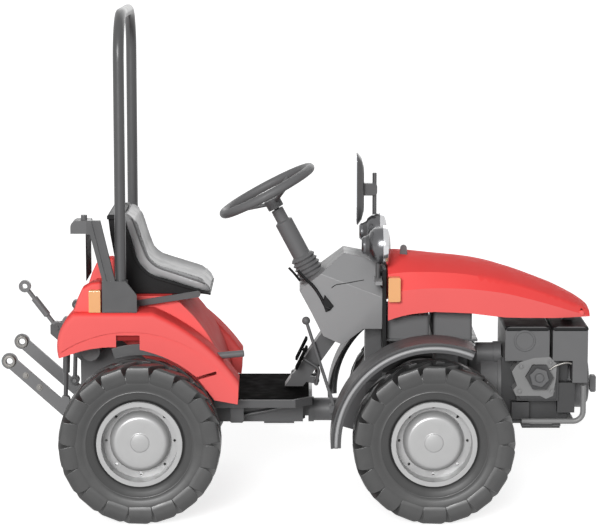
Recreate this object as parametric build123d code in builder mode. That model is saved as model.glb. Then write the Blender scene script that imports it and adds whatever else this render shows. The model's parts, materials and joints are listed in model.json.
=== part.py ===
from build123d import *
from math import atan2, cos, degrees, radians, sin, sqrt
import os

# Mini tractor with four equal driven wheels, hinged at a kingpin between its two half frames.
# Millimetres. X points forward, Y to the driver's left and Z up.
# The origin is on the ground under the middle of the tractor.

# Overall sizes and plays
WHEELBASE = 1030.0
TRACK = 840.0  # between the middles of the tyres
PIVOT_BEHIND = 490.0  # kingpin behind the front axle
LEG_ROOM = 228.0  # from the seat pedestal to the kingpin
RUN = 0.25  # radial play of a shaft or pin in its bore
SEAT = 0.3  # play between fixed pieces that meet on round faces
END_PLAY = 0.5  # beside a hinge's bearing faces
PIN_PROUD = 6.0  # what a pin stands out of its plate

# Tyres
TYRE_R = 285.0  # to the tips of the lugs
TYRE_W = 160.0  # over the lugs
SIDEWALL_W = 156.0
TREAD_W = 132.0
BEAD_W = 116.0
BEAD_R = 140.0
BEAD_EDGE_R = 154.0
SIDEWALL_R = 210.0  # where the tyre is widest
SHOULDER_R = 248.0
CROWN_R = 260.0
LUG_COUNT = 18  # on each side of the tread
LUG_SWEEP = 80.0  # along the tread, from the inner to the outer end
LUG_T = 46.0  # along the tread
LUG_DEPTH = 44.0  # from the tip down into the shoulder
LUG_GAP = 3.0  # from the middle of the tread
LUG_DRAFT = 8.0  # degrees

# Wheels
FLANGE_R = 150.0
FLANGE_T = 5.0
BARREL_T = 6.0
DISC_IN = 72.0  # from the outer flange to the disc
DISC_T = 8.0
DOME_R = 106.0
DOME_TOP_R = 72.0
DOME_H = 42.0
DISC_HOLES = 8
DISC_HOLE_R = 5.0
DISC_HOLE_CIRCLE = 120.0
HUB_R = 44.0
HUB_BOLTS = 4
HUB_BOLT_R = 5.0
HUB_BOLT_CIRCLE = 45.0
HUB_BOLT_DEEP = 6.0
HUB_CAP_R = 31.0
HUB_CAP_H = 3.0
HUB_GAP = 5.0  # between hub and axle
STUB_R = 25.0
STUB_L = 55.0
HUB_IN = 60.0  # hub's inner face from the middle of the tyre

# Axles and transmission cases
AXLE_TUBE_R = 42.0
AXLE_FLANGE_R = 60.0
AXLE_FLANGE_T = 16.0
CASE_W = 200.0
CASE_ROUND_R = 105.0
REAR_CASE_BACK = 120.0
REAR_CASE_FRONT = 150.0
REAR_CASE_TOP = 105.0  # above the axle
REAR_CASE_BOTTOM = 70.0  # below the axle
FRONT_CASE_TOP = 145.0
FRONT_CASE_BOTTOM = 60.0
FRONT_CASE_FRONT = 150.0  # ahead of the front axle
FRONT_CASE_TAIL = 170.0  # ahead of the kingpin
CASE_TAIL_H = 110.0

# Articulation
TUBE_RISE = 28.0  # swivel tube's middle above the axles
TUBE_R = 42.0
TUBE_FLANGE_R = 46.0
TUBE_FLANGE_T = 20.0
TUBE_START = 52.0  # flange ahead of the kingpin
KNUCKLE_R = 38.0
KNUCKLE_H = 40.0
NECK_W = 48.0
KINGPIN_R = 16.0
FORK_T = 12.0
FORK_TIP_R = 40.0
CHEEK_IN = 100.0  # frame's side plates from the middle
CHEEK_T = 10.0
CHEEK_FRONT = 32.0  # ahead of the kingpin
CHEEK_BOTTOM = 4.0  # above the axles
FORK_BACK = 110.0  # behind the kingpin

# Floor
FLOOR_RISE = 112.0  # top of the plate above the axles
FLOOR_T = 4.0
FLOOR_FOLD = 29.0
FLOOR_HALF_W = 250.0
FLOOR_REAR = 250.0  # ahead of the rear axle
FLOOR_FRONT = 65.0  # ahead of the kingpin
FLOOR_CORNER = 60.0
MAT_T = 3.0
MAT_EDGE = 12.0

# Rear fenders and seat pedestal, from the rear axle
BODY_T = 4.0
BODY_DROP = 60.0  # how far a cavity runs out below
FENDER_IN = 214.0
FENDER_OUT = 370.0
FENDER_TOP = 447.0
FENDER_ROUND = 22.0
FENDER_REAR = -236.0
FENDER_SHOULDER = (-271.0, 408.0)
FENDER_TIP = (-290.0, 283.0)
FENDER_CROWN = 42.0
FENDER_BROW = (205.0, 350.0)
FENDER_TOE = (345.0, 200.0)
FENDER_HEEL = (341.0, 119.0)
ARCH_REAR = (-238.0, 301.0)
ARCH_TOP = (-20.0, 318.0)
ARCH_FRONT = (196.0, 217.0)
ARCH_CLEAR = 7.0  # from the tips of the lugs
ARCH_END = 134.0  # height of the arch's front end
NOTCH = (-86.0, -3.0, 366.0)  # from, to and top of the gap over the arch
SLIT = ((186.0, 209.0), (262.0, 231.0))
SLIT_W = 11.0
PANEL_IN = 6.0  # set in below the crease
CREASE = ((-290.0, 300.0), (-10.0, 378.0), (345.0, 150.0))
POD = ((-137.0, 553.0), (-172.0, 549.0), (-206.0, 529.0), (-222.0, 494.0), (-238.0, 446.0))
POD_Y = (262.0, 338.0)
POD_ROUND = 12.0
PEDESTAL_TOP = 483.0
PEDESTAL_REAR = -200.0
PEDESTAL_SKIRT = 415.0
PEDESTAL_NOSE = 210.0  # from the level top to the front
PEDESTAL_BROW = (82.0, 345.0)  # behind the front, above the axle
PEDESTAL_SIDE = (130.0, 165.0)

# Seat, from the rear axle
SEAT_BASE = (-20.0, 150.0)
SEAT_BASE_W = 300.0
SEAT_W = 420.0
SEAT_SHELL_T = 10.0
SEAT_LIP = (240.0, 480.0)
SEAT_BEND = (-14.0, 556.0)
SEAT_BEND_R = 130.0
SEAT_BACK_TOP = (-92.0, 812.0)
SEAT_HOOK = (48.0, 18.0)
CUSHION_T = 32.0
CUSHION_INSET = 6.0
BOLSTER_W = 62.0
BOLSTER_H = 22.0

# Roll-over hoop
HOOP_BACK = 70.0  # behind the rear axle
HOOP_Y = 330.0
HOOP_R = 19.5
HOOP_TOP = 1505.0  # above the axles
HOOP_BEND = 160.0
HOOP_FOOT_T = 6.0
HOOP_FOOT = (-134.0, -12.0)
HOOP_PLATE_TOP = (-134.0, -51.0)
HOOP_PLATE_EDGE = 55.0  # height of the plate's upright front edge
HOOP_PLATE_H = 105.0
HOOP_PLATE_T = 10.0
HOOP_SOCKET_T = 6.0

# Plate carrier and rear lamps
CARRIER_W = 22.0
CARRIER_BASE = (-132.0, -88.0)
CARRIER_TOP = (-186.0, -138.0)
CARRIER_H = 214.0
CARRIER_WEB = 14.0  # width of the groove down the post
PLATE_W = 200.0
PLATE_H = 166.0
PLATE_T = 3.0
PLATE_LAMP = (56.0, 80.0, 46.0)
LAMP_BOLT_R = 11.0
LAMP_BOLT_H = 16.0
REAR_LAMP = (42.0, 26.0, 80.0)
REAR_LAMP_BACK = 160.0
STRUT = ((-14.0, 458.0), (196.0, 494.0))
STRUT_W = 22.0
STRUT_T = 8.0

# Hitch, from the rear axle
LINK_PIN = (-200.0, -8.0)
LINK_L = 378.0
LINK_RISE = 42.0  # degrees, raised
LINK_Y = 200.0
LINK_T = 12.0
LINK_H = 44.0
LINK_EYE_R = 29.0
LINK_BORE_R = 11.1
LINK_PIN_R = 11.0
ROD_AT = 135.0  # along the link
ROD_OFF = 25.0  # above the link's middle line
ROCKSHAFT = (-190.0, 280.0)
ROCKSHAFT_R = 18.0
ARM_T = 12.0
ARM_END_R = 17.0
ROD_PIN_R = 8.0
ROD_R = 8.0
ROD_EYE_T = 20.0
ROD_BARREL_R = 13.0
ROD_BARREL_L = 90.0
ROD_SPACE = 1.0  # between rod, arm and link
TOP_PIN = (-330.0, 334.0)
TOP_PIN_R = 9.5
TOP_LINK_L = 190.0
TOP_LINK_RISE = 53.0
TOP_LINK_T = 22.0
TOP_EYE_R = 22.0
TOP_BORE_R = 9.6
TOP_ROD_R = 8.0
TOP_BARREL_R = 13.0
TOP_BARREL_L = 80.0
TOP_CHEEK_T = 8.0
LIFT_BACK = -235.0
LIFT_FRONT = 60.0
LIFT_HALF_W = 100.0
LIFT_TOP = 325.0
LIFT_BOSS_R = 34.0
LIFT_BOSS_Y = 130.0
HITCH_PLATE_IN = 160.0
HITCH_PLATE_T = 12.0

# Front half, from the front axle
CRANK_RISE = 137.0
CLUTCH_R = 130.0
CLUTCH_NECK_R = 78.0
CLUTCH_L = 110.0
CLUTCH_FLANGE_R = 138.0
CLUTCH_FLANGE_T = 12.0
ENGINE_L = 240.0
ENGINE_HALF_W = 130.0
ENGINE_BOTTOM = 18.0
ENGINE_TOP = 245.0
CYLINDER = (60.0, 192.0)
CYLINDER_Z = (106.0, 243.0)
CYLINDER_OUT = 200.0
FIN_COUNT = 5
FIN_T = 5.0
FIN_H = 9.0
HEX_R = 50.0
HEX_T = 24.0
HEX_BOSS_R = 24.0
HEX_BOLT_R = 12.0
HEX_STEP = 4.0
HEX_AT = (130.0, 189.0)
COVER_H = 124.0
COVER_Y = (-200.0, 140.0)
COVERS = ((7.0, 166.0), (178.0, 304.0))
COVER_ROUND = 20.0
COVER_DROP = (250.0, 304.0)
COVER_DROP_Y = (-200.0, -112.0)
COVER_DROP_H = 80.0
CARB = (200.0, 262.0)
CARB_Z = (50.0, 160.0)
OIL_BOX = (35.0, 98.0)
OIL_BOX_Z = (24.0, 88.0)
SIDE_BOX_OUT = 172.0
NECK = (-88.0, -26.0)
NECK_RISE = 246.0
NECK_Y = -60.0
NECK_R = 42.0
NECK_FLANGE_R = 46.0
SILENCER = (40.0, 200.0)
SILENCER_Y = (150.0, 225.0)
SILENCER_Z = (120.0, 240.0)
SILENCER_PIPE_R = 16.0
RECOIL_R = 100.0
RECOIL_L = 84.0
GRIP_Y = -60.0
GRIP_R = 14.0
GRIP_H = 62.0
GRIP_L = 22.0
GRIP_ROPE = 4.0
GRIP_ROPE_R = 4.0
BED_T = 12.0
BED_HALF_W = 150.0
SKID = (78.0, 216.0)
SKID_H = 24.0
SKID_HALF_W = 120.0
GUARD_R = 10.0
GUARD_Y = 190.0
GUARD_ARM_T = 6.0
GUARD_ARMS = (70.0, 180.0)
GUARD_ARM_W = 30.0
GUARD_FRONT = 291.0
GUARD_TOP = 154.0
GUARD_BEND = 36.0

# Under the hood, from the front axle
TRAY_RISE = 319.0  # top of the tray above the axles
TRAY_T = 8.0
TRAY = (-170.0, 170.0)
TRAY_HALF_W = 170.0
LEG_HALF_W = 60.0
REAR_LEG = (-232.0, -170.0)
FRONT_LEG = (106.0, 140.0)
BATTERY = (-157.0, -4.0)
BATTERY_HALF_W = 160.0
BATTERY_H = 84.0
TANK = (12.0, 150.0)
TANK_HALF_W = 165.0
TANK_H = 112.0
FILTER = (13.0, 100.0)
FILTER_Y = (-190.0, -70.0)
FILTER_H = 83.0
BOX_ROUND = 12.0

# Front fenders
FRONT_FENDER_R = 362.0
FRONT_FENDER_T = 5.0
FRONT_FENDER_IN = 322.0
FRONT_FENDER_OUT = 490.0
FRONT_FENDER_LIP = 36.0
FRONT_FENDER_BEAD = (8.0, 5.0)  # along the lip's edge
FRONT_FENDER_FROM = 67.0  # degrees from straight ahead
FRONT_FENDER_TO = 182.0
STAY_W = 26.0
STAY_T = 8.0
STAY_REACH = 420.0

# Hood, heights above the axles and lengths from the front axle
HOOD_T = 4.0
HOOD_FLOOR = 345.0
# station, half widths at the bottom, the waist and the shoulder, heights of waist, shoulder and ridge
HOOD_SECTIONS = (
    (-155.0, 228.0, 237.0, 206.0, 512.0, 582.0, 613.0),
    (-40.0, 231.0, 240.0, 206.0, 512.0, 573.0, 604.0),
    (78.0, 232.0, 240.0, 204.0, 512.0, 560.0, 590.0),
    (261.0, 214.0, 222.0, 186.0, 485.0, 524.0, 553.0),
    (445.0, 172.0, 178.0, 150.0, 436.0, 458.0, 479.0),
    (545.0, 136.0, 140.0, 118.0, 405.0, 418.0, 434.0),
    (578.0, 118.0, 122.0, 104.0, 396.0, 402.0, 412.0),
)
HOOD_EDGE_REAR = 371.0
HOOD_EDGE_MID = (-75.0, 408.0)
HOOD_EDGE_TOP = (10.0, 424.0)
HOOD_EDGE_FLAT = (136.0, 425.0)
HOOD_EDGE_FRONT = (578.0, 393.0)
HOOD_PIN = (546.0, 408.0)
HOOD_PIN_R = 6.0
HOOD_LUG_IN = 52.0
HOOD_LUG_T = 10.0
HOOD_LUG_L = 26.0
EAR_T = 10.0
EAR_R = 10.0
EAR_GAP = 2.0
EAR_FOOT = (-66.0, -26.0)  # from the hinge pin
KNOB_AT = -94.0
KNOB_R = 13.0
KNOB_STEM_R = 5.0
KNOB_STEM_H = 10.0
FRONT_LAMP = (43.0, 26.0, 86.0)
FRONT_LAMP_Z = 469.0

# Console, from the kingpin and the axles
CONSOLE_REAR_W = 118.0  # half widths
CONSOLE_FRONT_W = 196.0
CONSOLE_TOP_W = 92.0
CONSOLE_LOW_W = 150.0
CONSOLE_REAR = (19.0, 488.0)
CONSOLE_KNEE = (64.0, 406.0)
CONSOLE_CREST = (180.0, 622.0)
CONSOLE_BROW = (258.0, 606.0)
CONSOLE_FRONT = (316.0, 578.0)
CONSOLE_SEAT = 355.0
CONSOLE_SEAT_REAR = 250.0
CONSOLE_CHIN = (174.0, 295.0)
CONSOLE_TAIL = (104.0, 326.0)
CONSOLE_WAIST = 475.0  # height of the crease along the side
POST_FOOT = (-34.0, 32.0)
POST_HALF_W = 40.0
POST_CLEAR = 6.0  # above the mat
POST_SHARE = 0.8  # of the console's lower edge
PEDAL_SHAFT = (80.0, 142.0)
PEDAL_SHAFT_R = 8.0
PEDAL_Y = 95.0
PEDAL_ARM_R = 6.0
PEDAL_BEND = (92.0, 196.0)
PEDAL_BEND_R = 24.0
PEDAL_END = (30.0, 236.0)
PEDAL_LEAN = 26.0  # degrees
PEDAL_PAD = (8.0, 62.0, 88.0)
LEVER_FOOT = (144.0, 24.0)
LEVER_Y = -62.0
LEVER_KNOB = (43.0, 368.0)
LEVER_R = 6.0
LEVER_KNOB_R = 15.0
LEVER_BOSS_H = 32.0

# Steering
WHEEL_BACK = 99.0  # behind the kingpin
WHEEL_RISE = 837.0
WHEEL_TILT = 28.0  # degrees
WHEEL_R = 177.0
WHEEL_GRIP_R = 13.0
HUB_DROP = 53.0
STEER_HUB_R = 30.0
STEER_HUB_H = 36.0
SPOKE_R = 7.0
SPOKES = 3
STEER_SHAFT_R = 10.0
STEER_SHAFT_L = 60.0
COLUMN_R = 18.0
COLUMN_LOWER_R = 30.0
COLUMN_LOWER = 0.6  # share of the column
COLUMN_GAP = 5.0
BELLOWS_R = 50.0
BELLOWS_TOP_R = 40.0
BELLOWS_RINGS = 6
BELLOWS_L = 96.0
BELLOWS_FOLD = 7.0

# Headlamps and mirror, from the front axle
LAMP_AT = (-239.0, 662.0)
LAMP_Y = 185.0
LAMP_R = 67.0
LAMP_BACK_R = 30.0
LAMP_BOWL_L = 60.0
LAMP_RIM_L = 18.0
LENS_R = 60.0
LENS_T = 8.0
LAMP_STEM_R = 9.0
LAMP_ARM = (26.0, 14.0)
LAMP_ARM_Z = 545.0
LAMP_ARM_AT = -190.0
MIRROR_ROD_CLEAR = 12.0  # beside the headlamp
MIRROR_ROD_R = 6.0
MIRROR_ROD_TOP = 874.0
MIRROR_X = -257.0
MIRROR_T = 18.0
MIRROR_Y = (200.0, 330.0)
MIRROR_Z = (680.0, 948.0)
MIRROR_ROUND = 30.0
GLASS_T = 2.0
GLASS_EDGE = 10.0

# Hand lever beside the seat
HAND_LEVER_Y = 300.0
HAND_LEVER = ((246.0, 280.0), (363.0, 291.0))
HAND_LEVER_R = 12.0

# Places worked out from the sizes above
REAR_REACH = -LINK_PIN[0] + LINK_L * cos(radians(LINK_RISE)) + LINK_EYE_R
CLUTCH_FRONT = FRONT_CASE_FRONT + CLUTCH_L
ENGINE_FRONT = CLUTCH_FRONT + ENGINE_L
FRONT_REACH = ENGINE_FRONT + RECOIL_L + GRIP_ROPE + GRIP_L
PEDESTAL_FRONT = WHEELBASE - PIVOT_BEHIND - LEG_ROOM  # ahead of the rear axle
RX = (REAR_REACH - WHEELBASE - FRONT_REACH) / 2  # rear axle
FX = RX + WHEELBASE  # front axle
PX = FX - PIVOT_BEHIND  # kingpin
EX = FX + CLUTCH_FRONT  # engine's rear face
AZ = TYRE_R  # axles above the ground
TUBE_Z = AZ + TUBE_RISE
FLOOR_Z = AZ + FLOOR_RISE
CRANK_Z = AZ + CRANK_RISE
BED_Z = AZ + ENGINE_BOTTOM
TRAY_Z = AZ + TRAY_RISE
AXLE_END = TRACK / 2 - HUB_IN - HUB_GAP
MIRROR_ROD_Y = LAMP_Y + LAMP_R + MIRROR_ROD_CLEAR
UP = (Align.CENTER, Align.CENTER, Align.MIN)


def rear(x, z):
    """A place given from the rear axle."""
    return (RX + x, AZ + z)


def front(x, z):
    """A place given from the front axle."""
    return (FX + x, AZ + z)


def pivot(x, z):
    """A place given from the kingpin, with heights above the axles."""
    return (PX + x, AZ + z)


def block(x, y, z, mode=Mode.ADD):
    """A box between pairs of coordinates."""
    middle = tuple((low + high) / 2 for low, high in (x, y, z))
    with Locations(middle):
        return Box(x[1] - x[0], y[1] - y[0], z[1] - z[0], mode=mode)


def rod(start, end, radius, mode=Mode.ADD):
    """A round bar from one point to another."""
    run = Vector(*end) - Vector(*start)
    with Locations(Plane(origin=start, z_dir=run).location):
        return Cylinder(radius, run.length, align=UP, mode=mode)


def slab(points, y, mode=Mode.ADD):
    """A plate with an outline of straight edges seen from the side, between two Y values."""
    with BuildSketch(Plane.XZ.offset(-y[1])) as outline:
        with BuildLine():
            Polyline(*points, close=True)
        make_face()
    return extrude(outline.sketch, amount=y[1] - y[0], mode=mode)


def bar(start, end, width, y, mode=Mode.ADD):
    """A flat bar with round ends between two points seen from the side."""
    with BuildSketch(Plane.XZ.offset(-y[1])) as outline:
        run = Vector(*end) - Vector(*start)
        middle = (Vector(*end) + Vector(*start)) / 2
        with Locations(Location((middle.X, middle.Y, 0), degrees(atan2(run.Y, run.X)))):
            SlotCenterToCenter(run.length, width)
    return extrude(outline.sketch, amount=y[1] - y[0], mode=mode)


def pipe(points, radius, bends):
    """A tube along straight runs joined by bends."""
    with BuildLine() as path:
        FilletPolyline(*points, radius=bends)
    with BuildSketch(Plane(origin=path.line @ 0, z_dir=path.line % 0)) as ring:
        Circle(radius)
    return sweep(ring.sketch, path=path.line)


def save(piece, name):
    """Labels a finished piece and writes it."""
    piece.part.label = name
    export_step(piece.part, f"parts/{name}.step")


os.makedirs("parts", exist_ok=True)


# Tyre, about its own middle with the axle along Y
def lug_planes(side):
    """Tangent planes of the lugs on one side of the tread, half a pitch apart from the other side's."""
    pitch = 360 / LUG_COUNT
    reach = (LUG_SWEEP + LUG_T) / 2
    middle_r = sqrt(TYRE_R**2 - reach**2)
    lead = degrees(atan2(reach, middle_r))
    for n in range(LUG_COUNT):
        turn = radians(-90 + lead + pitch * (n + (side > 0) / 2))
        outward = (cos(turn), 0, sin(turn))
        along = (-sin(turn), 0, cos(turn))
        yield Plane(origin=Vector(*outward) * middle_r, x_dir=along, z_dir=outward)


# half width and radius of the carcass, from bead to crown
TYRE_STATIONS = (
    (BEAD_W / 2, BEAD_EDGE_R),
    (SIDEWALL_W / 2, SIDEWALL_R),
    (TREAD_W / 2, SHOULDER_R),
    (0, CROWN_R),
)
with BuildPart() as tyre_form:
    across = [(-half, r) for half, r in TYRE_STATIONS] + [(half, r) for half, r in TYRE_STATIONS[-2::-1]]
    for y, r in across:
        with BuildSketch(Plane.XZ.offset(-y)):
            RegularPolygon(r, 2 * LUG_COUNT)
    loft(ruled=True)
    for side in (1, -1):
        with BuildSketch(*lug_planes(side)):
            with BuildLine():
                Polyline(
                    (-(LUG_SWEEP + LUG_T) / 2, -side * LUG_GAP),
                    ((-LUG_SWEEP + LUG_T) / 2, -side * LUG_GAP),
                    ((LUG_SWEEP + LUG_T) / 2, -side * TYRE_W / 2),
                    ((LUG_SWEEP - LUG_T) / 2, -side * TYRE_W / 2),
                    close=True,
                )
            make_face()
        extrude(amount=-LUG_DEPTH)
    with Locations(Location((0, 0, 0), (90, 0, 0))):
        Cylinder(BEAD_R, TYRE_W, mode=Mode.SUBTRACT)


def wheel_form(bolted):
    """Barrel, disc, hub and stub shaft about the tyre's middle, outboard towards +Y."""
    bead = BEAD_W / 2 + SEAT
    lip = bead + FLANGE_T
    seat_r = BEAD_R - SEAT
    well_r = seat_r - BARREL_T
    disc = lip - DISC_IN
    top = disc + DOME_H
    with BuildPart() as wheel:
        with BuildSketch(Plane.YZ):
            with BuildLine():
                Polyline(
                    (lip, FLANGE_R),
                    (bead, FLANGE_R),
                    (bead, seat_r),
                    (-bead, seat_r),
                    (-bead, FLANGE_R),
                    (-lip, FLANGE_R),
                    (-lip, well_r),
                    (disc - DISC_T, well_r),
                    (disc - DISC_T, DOME_R - DISC_T),
                    (top - DISC_T, DOME_TOP_R - DISC_T),
                    (top - DISC_T, HUB_R),
                    (-HUB_IN, HUB_R),
                    (-HUB_IN, STUB_R),
                    (-HUB_IN - HUB_GAP - STUB_L, STUB_R),
                    (-HUB_IN - HUB_GAP - STUB_L, 0),
                    (top, 0),
                    (top, DOME_TOP_R),
                    (disc, DOME_R),
                    (disc, well_r),
                    (lip, well_r),
                    close=True,
                )
            make_face()
        revolve(axis=Axis.Y)
        with BuildSketch(Plane.XZ.offset(-disc)):
            with PolarLocations(DISC_HOLE_CIRCLE, DISC_HOLES):
                Circle(DISC_HOLE_R)
        extrude(amount=DISC_T, mode=Mode.SUBTRACT)
        with BuildSketch(Plane.XZ.offset(-top - HUB_CAP_H)):
            Circle(HUB_CAP_R)
        extrude(amount=HUB_CAP_H)
        if bolted:
            with BuildSketch(Plane.XZ.offset(-top)):
                with PolarLocations(HUB_BOLT_CIRCLE, HUB_BOLTS, start_angle=45):
                    Circle(HUB_BOLT_R)
            extrude(amount=HUB_BOLT_DEEP, mode=Mode.SUBTRACT)
    return wheel.part


# end of the tractor, axle's place and whether bolt heads show in the disc
AXLES = (("rear", RX, True), ("front", FX, False))
SIDES = (("left", 1), ("right", -1))
for end, axle_x, bolted in AXLES:
    disc_form = wheel_form(bolted)
    for hand, side in SIDES:
        centre = Location((axle_x, side * TRACK / 2, AZ))
        with BuildPart() as tyre:
            add(tyre_form.part.moved(centre))
        save(tyre, f"tyre_{end}_{hand}")
        with BuildPart() as wheel:
            if side > 0:
                add(disc_form.moved(centre))
            else:
                add(disc_form.mirror(Plane.XZ).moved(centre))
        save(wheel, f"wheel_{end}_{hand}")


def axle_tubes(axle_x):
    """Both trumpets of an axle with their end flanges, bored for the hubs' stub shafts."""
    for side in (1, -1):
        rod((axle_x, side * CASE_W / 2, AZ), (axle_x, side * AXLE_END, AZ), AXLE_TUBE_R)
        rod((axle_x, side * (AXLE_END - AXLE_FLANGE_T), AZ), (axle_x, side * AXLE_END, AZ), AXLE_FLANGE_R)
        rod(
            (axle_x, side * (AXLE_END - STUB_L - HUB_GAP), AZ),
            (axle_x, side * AXLE_END, AZ),
            STUB_R + RUN,
            mode=Mode.SUBTRACT,
        )


with BuildPart() as rear_axle:
    slab(
        (
            rear(-REAR_CASE_BACK, -REAR_CASE_BOTTOM),
            rear(REAR_CASE_FRONT, -REAR_CASE_BOTTOM),
            rear(REAR_CASE_FRONT, REAR_CASE_TOP),
            rear(-REAR_CASE_BACK, REAR_CASE_TOP),
        ),
        (-CASE_W / 2, CASE_W / 2),
    )
    rod((RX, -CASE_W / 2, AZ), (RX, CASE_W / 2, AZ), CASE_ROUND_R)
    axle_tubes(RX)
save(rear_axle, "rear_axle")

# Rear frame: two side plates that carry the floor, and the fork with its kingpin
KNUCKLE_LOW = TUBE_Z - KNUCKLE_H / 2
KNUCKLE_HIGH = TUBE_Z + KNUCKLE_H / 2
FORK_LEVELS = (KNUCKLE_LOW - END_PLAY - FORK_T, KNUCKLE_HIGH + END_PLAY)
FLOOR_UNDER = FLOOR_Z - FLOOR_T
with BuildPart() as rear_frame:
    for side in (1, -1):
        edges = sorted((side * CHEEK_IN, side * (CHEEK_IN + CHEEK_T)))
        slab(
            (
                rear(0, AXLE_TUBE_R + CHEEK_T),
                rear(REAR_CASE_FRONT, CHEEK_BOTTOM),
                (PX + CHEEK_FRONT, AZ + CHEEK_BOTTOM),
                (PX + CHEEK_FRONT, FLOOR_UNDER),
                (RX + FLOOR_REAR, FLOOR_UNDER),
                rear(0, REAR_CASE_TOP),
            ),
            edges,
        )
    for level in FORK_LEVELS:
        block((PX - FORK_BACK, PX), (-CHEEK_IN, CHEEK_IN), (level, level + FORK_T))
        rod((PX, 0, level), (PX, 0, level + FORK_T), FORK_TIP_R)
    rod(
        (PX, 0, FORK_LEVELS[0] - PIN_PROUD),
        (PX, 0, FORK_LEVELS[1] + FORK_T + PIN_PROUD),
        KINGPIN_R,
    )
save(rear_frame, "rear_frame")


def floor_outline(inset, front_inset):
    """The floor from above, with its front corners cut."""
    half = FLOOR_HALF_W - inset
    low = RX + FLOOR_REAR + inset
    high = PX + FLOOR_FRONT - front_inset
    with BuildSketch(Plane.XY.offset(FLOOR_Z)) as outline:
        with BuildLine():
            Polyline(
                (low, -half),
                (high - FLOOR_CORNER, -half),
                (high, -half + FLOOR_CORNER),
                (high, half - FLOOR_CORNER),
                (high - FLOOR_CORNER, half),
                (low, half),
                close=True,
            )
        make_face()
    return outline.sketch


with BuildPart() as floor_plate:
    extrude(floor_outline(0, 0), amount=-FLOOR_FOLD)
    hollow = floor_outline(FLOOR_T, FLOOR_T).moved(Location((0, 0, -FLOOR_T)))
    extrude(hollow, amount=-FLOOR_FOLD, mode=Mode.SUBTRACT)
    block(
        (RX + FLOOR_REAR - FLOOR_T, RX + FLOOR_REAR + 2 * FLOOR_T),
        (-CHEEK_IN - 2 * CHEEK_T, CHEEK_IN + 2 * CHEEK_T),
        (FLOOR_Z - 2 * FLOOR_FOLD, FLOOR_UNDER),
        mode=Mode.SUBTRACT,
    )
save(floor_plate, "floor_plate")

with BuildPart() as floor_mat:
    extrude(floor_outline(MAT_EDGE, MAT_EDGE), amount=MAT_T)
    block(
        (RX, RX + PEDESTAL_FRONT + SEAT),
        (-FLOOR_HALF_W, FLOOR_HALF_W),
        (FLOOR_Z, FLOOR_Z + MAT_T),
        mode=Mode.SUBTRACT,
    )
save(floor_mat, "floor_mat")


def fender_solid(wall, drop):
    """The left rear fender's outer form, or its cavity when a wall is given."""
    clear = TYRE_R + ARCH_CLEAR
    arch_end = (sqrt(clear**2 - ARCH_END**2), ARCH_END)
    high = FENDER_TOP - wall
    with BuildPart() as form:
        with BuildSketch(Plane.XZ.offset(-FENDER_OUT + wall)):
            with BuildLine():
                Line(rear(FENDER_CROWN, high), rear(FENDER_REAR, high))
                ThreePointArc(
                    rear(FENDER_REAR, high),
                    rear(FENDER_SHOULDER[0] + wall, FENDER_SHOULDER[1] - wall),
                    rear(FENDER_TIP[0] + wall, FENDER_TIP[1] - drop),
                )
                Line(rear(FENDER_TIP[0] + wall, FENDER_TIP[1] - drop), rear(ARCH_REAR[0], ARCH_REAR[1] - drop))
                ThreePointArc(
                    rear(ARCH_REAR[0], ARCH_REAR[1] - drop),
                    rear(ARCH_TOP[0], ARCH_TOP[1] - drop),
                    rear(ARCH_FRONT[0], ARCH_FRONT[1] - drop),
                )
                Polyline(
                    rear(ARCH_FRONT[0], ARCH_FRONT[1] - drop),
                    rear(arch_end[0], arch_end[1] - drop),
                    rear(FENDER_HEEL[0] - wall, FENDER_HEEL[1] - drop),
                    rear(FENDER_TOE[0] - wall, FENDER_TOE[1] - wall),
                )
                ThreePointArc(
                    rear(FENDER_TOE[0] - wall, FENDER_TOE[1] - wall),
                    rear(FENDER_BROW[0] - wall / 2, FENDER_BROW[1] - wall),
                    rear(FENDER_CROWN, high),
                )
            make_face()
        extrude(amount=FENDER_OUT - FENDER_IN - 2 * wall)
        for wall_face in (form.faces().sort_by(Axis.Y)[0], form.faces().sort_by(Axis.Y)[-1]):
            upper = wall_face.edges().filter_by(lambda edge: (edge @ 0.5).Z > AZ + ARCH_TOP[1])
            fillet(upper, FENDER_ROUND - wall)
    return form.part


# a rounded pod on the fender's rear end, beside the lamp
with BuildPart() as pod:
    foot = (rear(POD[-1][0], FENDER_TOP - BODY_T), rear(POD[0][0], FENDER_TOP - BODY_T))
    slab((*(rear(*spot) for spot in POD), *foot), POD_Y)
    fillet(pod.edges().filter_by(lambda edge: (edge @ 0.5).Z > AZ + FENDER_TOP + BODY_T), POD_ROUND)
with BuildPart() as rear_fender_left:
    add(fender_solid(0, 0))
    with BuildSketch(Plane.XZ.offset(-FENDER_OUT)):
        with BuildLine():
            ThreePointArc(*(rear(*spot) for spot in CREASE))
            Polyline(
                rear(*CREASE[2]),
                rear(CREASE[2][0], 0),
                rear(CREASE[0][0], 0),
                rear(*CREASE[0]),
            )
        make_face()
    extrude(amount=PANEL_IN, mode=Mode.SUBTRACT)
    add(fender_solid(BODY_T + PANEL_IN, BODY_DROP), mode=Mode.SUBTRACT)
    block(
        (RX + NOTCH[0], RX + NOTCH[1]),
        (FENDER_OUT - 4 * BODY_T, FENDER_OUT + BODY_T),
        (AZ + FENDER_HEEL[1], AZ + NOTCH[2]),
        mode=Mode.SUBTRACT,
    )
    bar(
        rear(*SLIT[0]),
        rear(*SLIT[1]),
        SLIT_W,
        (FENDER_OUT - 4 * BODY_T, FENDER_OUT),
        mode=Mode.SUBTRACT,
    )
    add(pod.part)
save(rear_fender_left, "rear_fender_left")
with BuildPart() as rear_fender_right:
    mirror(rear_fender_left.part, about=Plane.XZ)
save(rear_fender_right, "rear_fender_right")


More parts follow.
